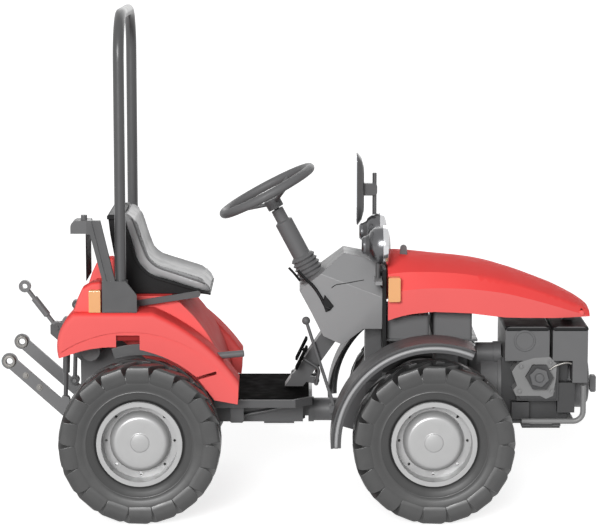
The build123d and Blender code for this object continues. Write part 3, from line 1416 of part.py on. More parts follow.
# Hood hinge: two ears on the front engine cover and one pin
COVER_HIGH = ENGINE_HIGH + COVER_H
with BuildPart() as hood_hinge:
    ear_out = HOOD_LUG_IN - EAR_GAP
    for side in (1, -1):
        edges = sorted((side * (ear_out - EAR_T), side * ear_out))
        slab(
            (
                (HINGE_X + EAR_FOOT[0], COVER_HIGH),
                (HINGE_X + EAR_FOOT[1], COVER_HIGH),
                (HINGE_X + EAR_R, HINGE_Z),
                (HINGE_X, HINGE_Z + EAR_R),
            ),
            edges,
        )
        rod((HINGE_X, edges[0], HINGE_Z), (HINGE_X, edges[1], HINGE_Z), EAR_R)
    pin_out = HOOD_LUG_IN + HOOD_LUG_T + PIN_PROUD
    rod((HINGE_X, -pin_out, HINGE_Z), (HINGE_X, pin_out, HINGE_Z), HOOD_PIN_R)
save(hood_hinge, "hood_hinge")

with BuildPart() as front_lamps:
    waist = HOOD_SECTIONS[0][2]
    for side in (1, -1):
        with Locations((FX + HOOD_REAR + FRONT_LAMP[0] / 2, side * waist, AZ + FRONT_LAMP_Z)):
            Box(FRONT_LAMP[0], 2 * FRONT_LAMP[1], FRONT_LAMP[2], align=UP)
    fillet(front_lamps.edges().filter_by(Axis.Y), FRONT_LAMP[1] / 5)
    add(hood_solid(0, HOOD_REAR), mode=Mode.SUBTRACT)
save(front_lamps, "front_lamps")

with BuildPart() as hood_knob:
    first, second = HOOD_SECTIONS[:2]
    share = (KNOB_AT - first[0]) / (second[0] - first[0])
    ridge_z = AZ + first[6] + share * (second[6] - first[6])
    stem_top = ridge_z + KNOB_STEM_H + KNOB_STEM_R
    rod((FX + KNOB_AT, 0, ridge_z - 4 * KNOB_STEM_H), (FX + KNOB_AT, 0, stem_top), KNOB_STEM_R)
    with Locations((FX + KNOB_AT, 0, stem_top + KNOB_R / 2)):
        Sphere(KNOB_R)
    add(hood_solid(0, HOOD_REAR), mode=Mode.SUBTRACT)
save(hood_knob, "hood_knob")

# Console: a profile from the side, drawn in towards the rear, the top and the bottom, and arms for the headlamps
ARM_X = FX + LAMP_ARM_AT
ARM_Z = AZ + LAMP_ARM_Z
TILT = radians(WHEEL_TILT)
with BuildPart() as console:
    slab(
        (
            pivot(*CONSOLE_REAR),
            pivot(*CONSOLE_CREST),
            pivot(*CONSOLE_BROW),
            pivot(*CONSOLE_FRONT),
            pivot(CONSOLE_FRONT[0], CONSOLE_SEAT),
            pivot(CONSOLE_SEAT_REAR, CONSOLE_SEAT),
            pivot(*CONSOLE_CHIN),
            pivot(*CONSOLE_TAIL),
            pivot(*CONSOLE_KNEE),
        ),
        (-CONSOLE_FRONT_W, CONSOLE_FRONT_W),
    )
    with BuildSketch(Plane.XY.offset(AZ + CONSOLE_CHIN[1])):
        with BuildLine():
            Polyline(
                (PX, -CONSOLE_REAR_W),
                (PX + CONSOLE_FRONT[0], -CONSOLE_FRONT_W),
                (PX + CONSOLE_FRONT[0], CONSOLE_FRONT_W),
                (PX, CONSOLE_REAR_W),
                close=True,
            )
        make_face()
    extrude(amount=CONSOLE_CREST[1] - CONSOLE_CHIN[1], mode=Mode.INTERSECT)
    with BuildSketch(Plane.YZ.offset(PX)):
        with BuildLine():
            Polyline(
                (-CONSOLE_LOW_W, AZ + CONSOLE_CHIN[1]),
                (CONSOLE_LOW_W, AZ + CONSOLE_CHIN[1]),
                (CONSOLE_FRONT_W, AZ + CONSOLE_WAIST),
                (CONSOLE_TOP_W, AZ + CONSOLE_CREST[1]),
                (-CONSOLE_TOP_W, AZ + CONSOLE_CREST[1]),
                (-CONSOLE_FRONT_W, AZ + CONSOLE_WAIST),
                close=True,
            )
        make_face()
    extrude(amount=CONSOLE_FRONT[0], mode=Mode.INTERSECT)
    block(
        (ARM_X - LAMP_ARM[0] / 2, ARM_X + LAMP_ARM[0] / 2),
        (-MIRROR_ROD_Y - LAMP_ARM[1], MIRROR_ROD_Y + LAMP_ARM[1]),
        (ARM_Z - LAMP_ARM[1], ARM_Z),
    )
save(console, "console")

# Steering post under the console, with its pedal shaft
MAT_Z = FLOOR_Z + MAT_T
PEDAL_X, PEDAL_Z = pivot(*PEDAL_SHAFT)
PAD_X, PAD_Z = pivot(*PEDAL_END)
PAD_FACE = Vector(-cos(radians(PEDAL_LEAN)), 0, sin(radians(PEDAL_LEAN)))
with BuildPart() as steering_post:
    slab(
        (
            (PX + POST_FOOT[0], MAT_Z + POST_CLEAR),
            (PX + POST_FOOT[1], MAT_Z + POST_CLEAR),
            pivot(*(CONSOLE_TAIL[n] + POST_SHARE * (CONSOLE_CHIN[n] - CONSOLE_TAIL[n]) for n in (0, 1))),
            pivot(*CONSOLE_TAIL),
        ),
        (-POST_HALF_W, POST_HALF_W),
    )
    rod((PEDAL_X, -PEDAL_Y, PEDAL_Z), (PEDAL_X, PEDAL_Y, PEDAL_Z), PEDAL_SHAFT_R)
    for side in (1, -1):
        ear = sorted((side * POST_HALF_W, side * (POST_HALF_W - 2 * PEDAL_SHAFT_R)))
        bar((PX, PEDAL_Z + 2 * PEDAL_SHAFT_R), (PEDAL_X, PEDAL_Z), 3 * PEDAL_SHAFT_R, ear)
        bend = pivot(*PEDAL_BEND)
        pipe(
            (
                (PEDAL_X, side * PEDAL_Y, PEDAL_Z),
                (bend[0], side * PEDAL_Y, bend[1]),
                (PAD_X, side * PEDAL_Y, PAD_Z),
            ),
            PEDAL_ARM_R,
            PEDAL_BEND_R,
        )
save(steering_post, "steering_post")

with BuildPart() as pedal_pads:
    for side in (1, -1):
        face = Plane(origin=(PAD_X, side * PEDAL_Y, PAD_Z), x_dir=(0, 1, 0), z_dir=PAD_FACE)
        with Locations(face.location):
            Box(PEDAL_PAD[1], PEDAL_PAD[2], PEDAL_PAD[0], align=UP)
    add(steering_post.part, mode=Mode.SUBTRACT)
save(pedal_pads, "pedal_pads")

with BuildPart() as gear_lever:
    foot_z = AZ + LEVER_FOOT[1] + LEVER_BOSS_H
    knob = pivot(*LEVER_KNOB)
    rod((PX + LEVER_FOOT[0], LEVER_Y, foot_z + SEAT), (knob[0], LEVER_Y, knob[1]), LEVER_R)
    with Locations((knob[0], LEVER_Y, knob[1])):
        Sphere(LEVER_KNOB_R)
    split(bisect_by=Plane.XY.offset(foot_z), keep=Keep.TOP)
save(gear_lever, "gear_lever")

# Steering column and bellows on the console, in the steering wheel's own plane
STEER = Plane(
    origin=(PX - WHEEL_BACK, 0, AZ + WHEEL_RISE),
    x_dir=(cos(TILT), 0, sin(TILT)),
    z_dir=(-sin(TILT), 0, cos(TILT)),
)
slope = (CONSOLE_CREST[1] - CONSOLE_REAR[1]) / (CONSOLE_CREST[0] - CONSOLE_REAR[0])
fall = WHEEL_RISE - CONSOLE_REAR[1] + (WHEEL_BACK + CONSOLE_REAR[0]) * slope
COLUMN_FOOT = -fall / (cos(TILT) + sin(TILT) * slope)  # where the column's axis meets the console
HUB_LOW = -HUB_DROP - STEER_HUB_H / 2
COLUMN_HIGH = HUB_LOW - COLUMN_GAP
with BuildPart(STEER) as steering_column:
    pitch = BELLOWS_L / BELLOWS_RINGS
    start = COLUMN_FOOT - pitch
    with Locations((0, 0, start)):
        Cylinder(COLUMN_R, COLUMN_HIGH - start, align=UP)
        Cylinder(COLUMN_LOWER_R, (COLUMN_HIGH - start) * COLUMN_LOWER, align=UP)
    for n in range(BELLOWS_RINGS):
        ring_r = BELLOWS_R + n * (BELLOWS_TOP_R - BELLOWS_R) / (BELLOWS_RINGS - 1)
        with Locations((0, 0, start + n * pitch)):
            Cone(ring_r - BELLOWS_FOLD, ring_r, pitch / 2, align=UP)
        with Locations((0, 0, start + (n + 0.5) * pitch)):
            Cone(ring_r, ring_r - BELLOWS_FOLD, pitch / 2, align=UP)
    with Locations(STEER.location.inverse()):
        add(console.part, mode=Mode.SUBTRACT)
    with Locations((0, 0, COLUMN_HIGH)):
        Cylinder(
            STEER_SHAFT_R + RUN,
            STEER_SHAFT_L,
            align=(Align.CENTER, Align.CENTER, Align.MAX),
            mode=Mode.SUBTRACT,
        )
save(steering_column, "steering_column")

with BuildPart(STEER) as steering_wheel:
    Torus(WHEEL_R, WHEEL_GRIP_R)
    with Locations((0, 0, -HUB_DROP)):
        Cylinder(STEER_HUB_R, STEER_HUB_H)
    with Locations((0, 0, HUB_LOW)):
        Cylinder(STEER_SHAFT_R, STEER_SHAFT_L, align=(Align.CENTER, Align.CENTER, Align.MAX))
    for n in range(SPOKES):
        turn = radians(180 + 360 / SPOKES * n)
        rod((0, 0, -HUB_DROP), (WHEEL_R * cos(turn), WHEEL_R * sin(turn), 0), SPOKE_R)
save(steering_wheel, "steering_wheel")

# Headlamps on the console's arms
LAMP_X, LAMP_Z = front(*LAMP_AT)
with BuildPart() as headlamps:
    for side in (1, -1):
        with Locations(Plane(origin=(LAMP_X, side * LAMP_Y, LAMP_Z), z_dir=(1, 0, 0)).location):
            Cone(LAMP_BACK_R, LAMP_R, LAMP_BOWL_L, align=UP)
        rim_x = LAMP_X + LAMP_BOWL_L
        rod((rim_x, side * LAMP_Y, LAMP_Z), (rim_x + LAMP_RIM_L, side * LAMP_Y, LAMP_Z), LAMP_R)
        rod(
            (rim_x + LAMP_RIM_L - LENS_T, side * LAMP_Y, LAMP_Z),
            (rim_x + LAMP_RIM_L, side * LAMP_Y, LAMP_Z),
            LENS_R + SEAT,
            mode=Mode.SUBTRACT,
        )
        rod((ARM_X, side * LAMP_Y, ARM_Z), (ARM_X, side * LAMP_Y, LAMP_Z - LAMP_R / 2), LAMP_STEM_R)
save(headlamps, "headlamps")

with BuildPart() as lamp_lenses:
    lens_x = LAMP_X + LAMP_BOWL_L + LAMP_RIM_L - LENS_T
    for side in (1, -1):
        rod((lens_x, side * LAMP_Y, LAMP_Z), (lens_x + LENS_T, side * LAMP_Y, LAMP_Z), LENS_R)
save(lamp_lenses, "lamp_lenses")

# Mirror on the left, on a rod from the lamp's arm
MIRROR_MID = (AZ + MIRROR_Z[0] + AZ + MIRROR_Z[1]) / 2
with BuildPart() as mirror_head:
    with BuildSketch(Plane.YZ.offset(FX + MIRROR_X)):
        with Locations(((MIRROR_Y[0] + MIRROR_Y[1]) / 2, MIRROR_MID)):
            RectangleRounded(MIRROR_Y[1] - MIRROR_Y[0], MIRROR_Z[1] - MIRROR_Z[0], MIRROR_ROUND)
    extrude(amount=MIRROR_T)
    rod((ARM_X, MIRROR_ROD_Y, ARM_Z), (ARM_X, MIRROR_ROD_Y, AZ + MIRROR_ROD_TOP), MIRROR_ROD_R)
    rod(
        (ARM_X + MIRROR_ROD_R, MIRROR_ROD_Y, AZ + MIRROR_ROD_TOP - 2 * MIRROR_ROD_R),
        (FX + MIRROR_X + MIRROR_T / 2, MIRROR_ROD_Y, AZ + MIRROR_ROD_TOP - 2 * MIRROR_ROD_R),
        MIRROR_ROD_R,
    )
save(mirror_head, "mirror")

with BuildPart() as mirror_glass:
    with BuildSketch(Plane.YZ.offset(FX + MIRROR_X - GLASS_T)):
        with Locations(((MIRROR_Y[0] + MIRROR_Y[1]) / 2, MIRROR_MID)):
            RectangleRounded(
                MIRROR_Y[1] - MIRROR_Y[0] - 2 * GLASS_EDGE,
                MIRROR_Z[1] - MIRROR_Z[0] - 2 * GLASS_EDGE,
                MIRROR_ROUND - GLASS_EDGE,
            )
    extrude(amount=GLASS_T)
save(mirror_glass, "mirror_glass")
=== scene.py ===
import json
from math import acos, cos, pi, radians, sin

import bmesh
import bpy
from mathutils import Matrix, Vector


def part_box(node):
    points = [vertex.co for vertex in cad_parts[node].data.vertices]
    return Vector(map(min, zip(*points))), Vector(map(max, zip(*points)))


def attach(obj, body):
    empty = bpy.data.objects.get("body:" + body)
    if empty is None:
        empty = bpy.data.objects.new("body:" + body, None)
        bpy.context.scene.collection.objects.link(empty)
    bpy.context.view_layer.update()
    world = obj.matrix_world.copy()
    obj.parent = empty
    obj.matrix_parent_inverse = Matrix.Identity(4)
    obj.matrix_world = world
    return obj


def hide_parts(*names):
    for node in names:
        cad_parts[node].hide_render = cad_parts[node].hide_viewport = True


# Finishes and dressed pieces of the mini tractor. Metres, X forward, Y to the driver's left, Z up.

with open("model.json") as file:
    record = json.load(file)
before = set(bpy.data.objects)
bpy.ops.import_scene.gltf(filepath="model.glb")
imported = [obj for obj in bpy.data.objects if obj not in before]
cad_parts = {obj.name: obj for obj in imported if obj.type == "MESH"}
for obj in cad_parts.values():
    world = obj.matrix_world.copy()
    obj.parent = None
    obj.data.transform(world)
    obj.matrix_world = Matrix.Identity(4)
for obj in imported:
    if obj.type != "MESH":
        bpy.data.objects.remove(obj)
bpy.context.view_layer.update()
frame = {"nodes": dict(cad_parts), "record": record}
nodes = frame["nodes"]
slots = {part["node"]: part["material_slot"] for part in frame["record"]["subparts"]}
scene = bpy.context.scene

# Camera, fitted to the wheels and the hoop in the picture
CAMERA_AT = (-0.004, -8.830, 2.142)
CAMERA_PITCH = radians(90 - 8.322)
LENS_MM = 146.64
SENSOR_MM = 36.0

# Light: a key beside the camera, a weak fill from the far side and an even sky
KEY_FROM = Vector((-0.22, -1.0, 0.34))
KEY_STRENGTH = 2.75
KEY_SPREAD = radians(22)
FILL_FROM = Vector((0.3, 1.0, 0.5))
FILL_STRENGTH = 0.9
FILL_SPREAD = radians(60)
SKY_STRENGTH = 0.18
FLOOR_SIZE = 160.0
FLOOR_GLOW = 0.74
FLOOR_TONE = 225

# Soft edges put on the pieces
EDGE_ANGLE = radians(32)
EDGE_WIDTH = 0.0016
EDGE_SEGMENTS = 2
WELD = 0.00001

# Finishes: patches of tone, patches of gloss and a fine grain, all from noise
PATCH_SCALE = 6.0
PATCH_DETAIL = 4.0
GLOSS_SCALE = 22.2
GLOSS_DETAIL = 3.0
GLOSS_SPREAD = 0.14
GRAIN_DETAIL = 2.0
GRAIN_DEPTH = 0.0006
MIDDLE_RANGE = (0.3, 0.7)

# Bolts: the washer's width and the head's chamfer, as shares of the head's size
WASHER_SHARE = 1.5
WASHER_STEPS = 20
CHAMFER_SHARE = 0.85
HEXAGON = 6

ALONG_X = Vector((1, 0, 0))
ALONG_Y = Vector((0, 1, 0))


def srgb(red, green, blue):
    """A display colour from 0 to 255 as the linear colour that shaders take."""
    return tuple(((c / 255 + 0.055) / 1.055) ** 2.4 for c in (red, green, blue)) + (1.0,)


def shade(colour, factor):
    """A lighter or darker tone of a linear colour."""
    return tuple(min(1.0, c * factor) for c in colour[:3]) + (1.0,)


def finish(name, colour, roughness, spread=0.10, grain=350.0, bump=0.06, painted_top_colour=None, **sockets):
    """A procedural finish: patchy tone, uneven gloss and a fine grain, by place on the object, with painted
    shade on faces that look up where a top colour is given.
    """
    material = bpy.data.materials.new(name)
    material.use_nodes = True
    tree = material.node_tree
    shader = tree.nodes["Principled BSDF"]
    place = tree.nodes.new("ShaderNodeTexCoord").outputs["Object"]
    patches = noise(tree, place, PATCH_SCALE, PATCH_DETAIL)
    mix = tree.nodes.new("ShaderNodeMix")
    mix.data_type = "RGBA"
    mix.inputs["A"].default_value = shade(colour, 1 - spread)
    mix.inputs["B"].default_value = shade(colour, 1 + spread)
    tree.links.new(patches, mix.inputs["Factor"])
    tone = mix.outputs["Result"]
    # painted shade: a deeper tone on faces that look up
    if painted_top_colour:
        tone = shade_painted_on_tops(tree, tone, painted_top_colour)
    tree.links.new(tone, shader.inputs["Base Color"])
    uneven = noise(tree, place, GLOSS_SCALE, GLOSS_DETAIL)
    gloss = spread_value(tree, uneven, roughness * (1 - GLOSS_SPREAD), roughness * (1 + GLOSS_SPREAD))
    tree.links.new(gloss, shader.inputs["Roughness"])
    relief(tree, noise(tree, place, grain, GRAIN_DETAIL), bump)
    for socket, value in sockets.items():
        shader.inputs[socket.replace("_", " ")].default_value = value
    return material


def shade_painted_on_tops(tree, tone, colour):
    """Paints shade on faces that look up: turns a tone into a deeper one as the face turns up."""
    normal = tree.nodes.new("ShaderNodeTexCoord").outputs["Normal"]
    parts = tree.nodes.new("ShaderNodeSeparateXYZ")
    tree.links.new(normal, parts.inputs["Vector"])
    mix = tree.nodes.new("ShaderNodeMix")
    mix.data_type = "RGBA"
    tree.links.new(tone, mix.inputs["A"])
    mix.inputs["B"].default_value = colour
    tree.links.new(spread_value(tree, parts.outputs["Z"], 0.0, 1.0), mix.inputs["Factor"])
    return mix.outputs["Result"]


def noise(tree, place, scale, detail):
    """A noise texture's height."""
    node = tree.nodes.new("ShaderNodeTexNoise")
    node.inputs["Scale"].default_value = scale
    node.inputs["Detail"].default_value = detail
    tree.links.new(place, node.inputs["Vector"])
    return node.outputs["Fac"]


def spread_value(tree, value, low, high):
    """Maps a value's middle range onto two values."""
    node = tree.nodes.new("ShaderNodeMapRange")
    node.inputs["From Min"].default_value = MIDDLE_RANGE[0]
    node.inputs["From Max"].default_value = MIDDLE_RANGE[1]
    node.inputs["To Min"].default_value = low
    node.inputs["To Max"].default_value = high
    tree.links.new(value, node.inputs["Value"])
    return node.outputs["Result"]


def relief(tree, height, strength):
    """A bump from a texture's height."""
    node = tree.nodes.new("ShaderNodeBump")
    node.inputs["Strength"].default_value = strength
    node.inputs["Distance"].default_value = GRAIN_DEPTH
    tree.links.new(height, node.inputs["Height"])
    tree.links.new(node.outputs["Normal"], tree.nodes["Principled BSDF"].inputs["Normal"])


# Finish of each material slot in the record
# The red is paler on the sides, a painted sheen, and deeper on faces that look up, a painted shade.
RED = srgb(240, 106, 104)
RED_PAINTED_TOP_SHADE = srgb(250, 80, 78)
FINISHES = {
    "red_paint": finish(
        "red_paint", RED, 0.50, spread=0.03, bump=0.02, painted_top_colour=RED_PAINTED_TOP_SHADE, Specular_IOR_Level=0.01
    ),
    "grey_paint": finish("grey_paint", srgb(76, 76, 77), 0.34, spread=0.06, bump=0.05),
    "cast_grey": finish("cast_grey", srgb(88, 88, 89), 0.50, spread=0.12, grain=220.0, bump=0.22),
    "tyre": finish(
        "tyre_rubber", srgb(50, 50, 50), 0.36, spread=0.08, bump=0.10, Specular_IOR_Level=0.7
    ),
    "wheel_silver": finish(
        "wheel_silver", srgb(172, 172, 172), 0.34, spread=0.03, bump=0.03, Metallic=0.25
    ),
    "dark_plastic": finish(
        "dark_plastic", srgb(104, 104, 105), 0.44, spread=0.05, grain=600.0, Specular_IOR_Level=0.2
    ),
    "black_plastic": finish(
        "black_plastic", srgb(16, 16, 17), 0.46, grain=600.0, bump=0.10, Specular_IOR_Level=0.2
    ),
    "rubber": finish("floor_rubber", srgb(10, 10, 10), 0.90, bump=0.12, Specular_IOR_Level=0.02),
    "seat_vinyl": finish("seat_vinyl", srgb(96, 96, 97), 0.36, spread=0.05, grain=420.0, bump=0.16),
    "amber": finish("amber_lens", srgb(232, 168, 108), 0.22, spread=0.05, bump=0.02, Coat_Weight=0.5),
    "lens": finish(
        "lamp_glass", srgb(168, 171, 175), 0.10, spread=0.02, bump=0.02, Transmission_Weight=0.5
    ),
    "mirror": finish("mirror_glass", srgb(214, 218, 222), 0.05, spread=0.01, bump=0.0, Metallic=1.0),
    "steel": finish("steel", srgb(128, 126, 123), 0.34, spread=0.14, Metallic=0.8),
}
# Finishes of single pieces that differ from their slot's
PALE_SIDE_TONE = finish("seat_pale_sides", srgb(158, 158, 159), 0.34, spread=0.04, grain=420.0, bump=0.14)
CONSOLE_GREY = finish("console_plastic", srgb(136, 136, 137), 0.42, spread=0.04, grain=600.0, bump=0.10)
LIGHT_CAST = finish("light_casting", srgb(124, 124, 124), 0.46, grain=220.0, bump=0.20)
DARK_CAST = finish("dark_casting", srgb(44, 44, 45), 0.50, spread=0.14, grain=220.0, bump=0.20)
CHROME = finish("chrome", srgb(206, 206, 208), 0.16, spread=0.03, bump=0.02, Metallic=0.9)
# pale grey for the bead along the front fenders' lips: a painted highlight
LIP_HIGHLIGHT_GREY = finish("lip_painted_highlight", srgb(160, 160, 161), 0.40, spread=0.04)
FENDER_GREY = finish(
    "fender_plastic", srgb(80, 80, 81), 0.40, spread=0.05, grain=600.0, Specular_IOR_Level=0.3
)
LINK_GREY = finish("link_paint", srgb(108, 108, 109), 0.38, spread=0.08, bump=0.05)
COVER_GREY = finish("cover_plastic", srgb(92, 92, 93), 0.40, spread=0.05, grain=600.0, bump=0.10)
LAMP_METAL = finish("lamp_metal", srgb(104, 104, 106), 0.24, spread=0.04, bump=0.02, Metallic=0.85)
# a deeper red for the rear fenders' recesses: painted shade
RECESS_SHADE_RED = finish(
    "recess_painted_shade", srgb(150, 44, 44), 0.50, spread=0.03, bump=0.02, Specular_IOR_Level=0.04
)
OWN_FINISHES = {
    "console": CONSOLE_GREY,
    "engine": DARK_CAST,
    "engine_covers": COVER_GREY,
    "guard_tube": LIGHT_CAST,
    "front_fender_left": FENDER_GREY,
    "front_fender_right": FENDER_GREY,
    "lower_links": LINK_GREY,
    "lift_arms": LINK_GREY,
    "top_link": LINK_GREY,
    "seat_base": FINISHES["black_plastic"],
    "rear_plate": FINISHES["black_plastic"],
}


def dress(node, material):
    """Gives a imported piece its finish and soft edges."""
    piece = nodes[node]
    piece.data.materials.clear()
    piece.data.materials.append(material)
    if piece.data.has_custom_normals:
        piece.data.attributes.remove(piece.data.attributes["custom_normal"])
    for face in piece.data.polygons:
        face.use_smooth = True
    weld = piece.modifiers.new("weld", "WELD")
    weld.merge_threshold = WELD
    soften(piece, EDGE_WIDTH)


def soften(piece, width):
    """Rounds a piece's edges a little."""
    edge = piece.modifiers.new("edge", "BEVEL")
    edge.width = width
    edge.segments = EDGE_SEGMENTS
    edge.limit_method = "ANGLE"
    edge.angle_limit = EDGE_ANGLE
    edge.harden_normals = True


for node, slot in slots.items():
    dress(node, OWN_FINISHES.get(node, FINISHES[slot]))
bpy.context.view_layer.update()


def add_piece(name, bm, body, slot, *materials, edge=0.0):
    """Puts a finished mesh on a body, with soft edges where a width is given."""
    bmesh.ops.recalc_face_normals(bm, faces=bm.faces)
    for face in bm.faces:
        face.smooth = True
    mesh = bpy.data.meshes.new(name)
    bm.to_mesh(mesh)
    bm.free()
    for material in materials or (FINISHES[slot],):
        mesh.materials.append(material)
    piece = bpy.data.objects.new(name, mesh)
    scene.collection.objects.link(piece)
    if edge:
        soften(piece, edge)
    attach(piece, body)
    return piece


def middle_of(node):
    """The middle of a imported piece's box."""
    low, high = (Vector(corner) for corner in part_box(node))
    return (low + high) / 2


def skin(bm, rings):
    """Faces between rings of as many points each; a ring of one point closes the form."""
    for one, two in zip(rings, rings[1:]):
        count = max(len(one), len(two))
        for n in range(count):
            after = (n + 1) % count
            corners = (one[n % len(one)], one[after % len(one)], two[after % len(two)], two[n % len(two)])
            bm.faces.new(list(dict.fromkeys(corners)))


def turned(bm, profile, origin, axis, steps=32, loop=False):
    """A form turned about an axis from pairs of place along it and radius."""
    along = axis.normalized()
    side = along.orthogonal().normalized()
    up = along.cross(side)
    rings = []
    for place, radius in profile:
        turns = [2 * pi * n / steps for n in range(steps)] if radius > WELD else [0.0]
        spokes = [(side * cos(a) + up * sin(a)) * radius for a in turns]
        rings.append([bm.verts.new(origin + along * place + spoke) for spoke in spokes])
    skin(bm, rings + rings[:1] if loop else rings)


def tube(bm, points, radius, sides=10):
    """A round bar or bead along a line of points, closed at both ends."""
    points = [Vector(point) for point in points]
    rings = []
    side = (points[1] - points[0]).orthogonal().normalized()
    for n, point in enumerate(points):
        run = (points[min(n + 1, len(points) - 1)] - points[max(n - 1, 0)]).normalized()
        side = (side - run * side.dot(run)).normalized()
        up = run.cross(side)
        turns = [2 * pi * k / sides for k in range(sides)]
        rings.append([bm.verts.new(point + (side * cos(a) + up * sin(a)) * radius) for a in turns])
    skin(bm, [[bm.verts.new(points[0])], *rings, [bm.verts.new(points[-1])]])


def prism(bm, outline, low, high):
    """A plate with an outline seen from the side, between two Y values."""
    rings = [[bm.verts.new((x, y, z)) for x, z in outline] for y in (low, high)]
    skin(bm, rings)
    for ring in rings:
        bm.faces.new(ring)


def bolt(bm, at, axis, radius, height):
    """A hexagon head on a washer."""
    wide = radius * WASHER_SHARE
    thick = height / 4
    turned(bm, ((0, 0), (0, wide), (thick, wide), (thick, 0)), at, axis, WASHER_STEPS)
    shoulder = height * CHAMFER_SHARE
    crown = radius * CHAMFER_SHARE
    turned(bm, ((0, 0), (0, radius), (shoulder, radius), (height, crown), (height, 0)), at, axis, HEXAGON)


def smooth_line(points, steps=6):
    """More points on a smooth line through the given ones."""
    points = [Vector(point) for point in points]
    ends = [points[0] * 2 - points[1], *points, points[-1] * 2 - points[-2]]
    line = []
    for a, b, c, d in zip(ends, ends[1:], ends[2:], ends[3:]):
        for n in range(steps):
            t = n / steps
            pull = (c - a) * t + (a * 2 - b * 5 + c * 4 - d) * t**2 + (b * 3 - a - c * 3 + d) * t**3
            line.append(b + pull / 2)
    return line + [points[-1]]


def on_side(node, x, z, proud=0.0):
    """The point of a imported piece's right side at a place seen from that side."""
    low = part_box(node)[0]
    found, spot, *_ = nodes[node].ray_cast(Vector((x, low[1] - 1, z)), ALONG_Y)
    return (spot if found else Vector((x, low[1], z))) - ALONG_Y * proud


REAR_AXLE = middle_of("tyre_rear_left")
REAR_AXLE.y = 0
FRONT_AXLE = middle_of("tyre_front_left")
FRONT_AXLE.y = 0


def rear(x, z, y=0.0):
    """A point ahead of and above the rear axle."""
    return REAR_AXLE + Vector((x, y, z))


def front(x, z, y=0.0):
    """A point ahead of and above the front axle."""
    return FRONT_AXLE + Vector((x, y, z))


# Tyres: half of the section from the bead to the middle of the tread,
# as distance from the middle and radius
CARCASS = (
    (0.0575, 0.141), (0.0530, 0.152), (0.0590, 0.159), (0.0660, 0.170), (0.0705, 0.182), (0.0745, 0.187),
    (0.0735, 0.191), (0.0755, 0.200), (0.0775, 0.213), (0.0780, 0.225), (0.0765, 0.238), (0.0725, 0.249),
    (0.0650, 0.2565), (0.0450, 0.260), (0.0200, 0.2612),
)
TYRE_STEPS = 96
LUG_COUNT = 18
LUG_TURN = radians(-90 + 12.77)
LUG_SWEEP = 0.080  # along the tread, from the inner to the outer end
LUG_BOW = 1.25
# Stations of a lug: tip and base as distance from the middle and radius,
# then half widths of tip and base
LUG_STATIONS = (
    (0.003, 0.2850, 0.003, 0.257, 0.0150, 0.020),
    (0.020, 0.2850, 0.020, 0.257, 0.0180, 0.024),
    (0.042, 0.2846, 0.042, 0.256, 0.0230, 0.030),
    (0.060, 0.2840, 0.058, 0.254, 0.0290, 0.037),
    (0.072, 0.2825, 0.066, 0.250, 0.0345, 0.043),
    (0.078, 0.2770, 0.070, 0.246, 0.0385, 0.047),
    (0.080, 0.2660, 0.072, 0.240, 0.0425, 0.049),
    (0.080, 0.2520, 0.074, 0.234, 0.0465, 0.049),
    (0.0792, 0.2380, 0.074, 0.226, 0.0492, 0.049),
    (0.0782, 0.2240, 0.074, 0.216, 0.0496, 0.049),
)
LUG_EDGE = 0.0022
TYRES = {
    "tyre_rear_left": "rear_left_wheel",
    "tyre_rear_right": "rear_right_wheel",
    "tyre_front_left": "front_left_wheel",
    "tyre_front_right": "front_right_wheel",
}


def add_lug(bm, middle, side, turn):
    """One lug of the tread, from the middle out over the shoulder."""
    rings = []
    outermost = max(station[0] for station in LUG_STATIONS)
    for tip_y, tip_r, base_y, base_r, tip_half, base_half in LUG_STATIONS:
        sweep = LUG_SWEEP * ((tip_y / outermost) ** LUG_BOW - 0.5)
        corners = (
            (base_y, base_r, -base_half),
            (tip_y, tip_r, -tip_half),
            (tip_y, tip_r, tip_half),
            (base_y, base_r, base_half),
        )
        ring = []
        for y, radius, half in corners:
            angle = turn + (sweep + half) / LUG_STATIONS[0][1]
            ring.append(bm.verts.new(middle + Vector((radius * cos(angle), side * y, radius * sin(angle)))))
        rings.append(ring)
    skin(bm, rings)
    bm.faces.new(rings[0])
    bm.faces.new(rings[-1])


for node, body in TYRES.items():
    bm = bmesh.new()
    middle = middle_of(node)
    section = list(CARCASS) + [(-y, r) for y, r in reversed(CARCASS)]
    turned(bm, section, middle, ALONG_Y, TYRE_STEPS, loop=True)
    for side in (1, -1):
        for n in range(LUG_COUNT):
            add_lug(bm, middle, side, LUG_TURN + 2 * pi * (n + (side > 0) / 2) / LUG_COUNT)
    piece = add_piece(node + "_tread", bm, body, "tyre", edge=LUG_EDGE)
    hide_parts(node)

# Seat: a swept shell and a stuffed cushion along the line of pan and back
SEAT_LIP = rear(0.240, 0.480)
SEAT_BEND = rear(-0.014, 0.556)
SEAT_TOP = rear(-0.080, 0.772)
SEAT_BEND_R = 0.130
SHELL_HALF_W = 0.180
SHELL_T = 0.008
SHELL_EDGE = 0.002
PAN_STEPS = 12
BEND_STEPS = 10
HOOK = (0.048, 0.018)  # length back and drop
CUSHION_HALF_W = 0.176
CUSHION_LOW = 0.009
CUSHION_HIGH = 0.046
CUSHION_DISH = 0.016
# Shares of width and height at the cushion's nose and top
CUSHION_ENDS = ((0.86, 0.30), (0.95, 0.72), (0.99, 0.93))
CUSHION_COLUMNS = 8
CUSHION_SHOULDER = 0.93
CUSHION_FOOT = 0.95
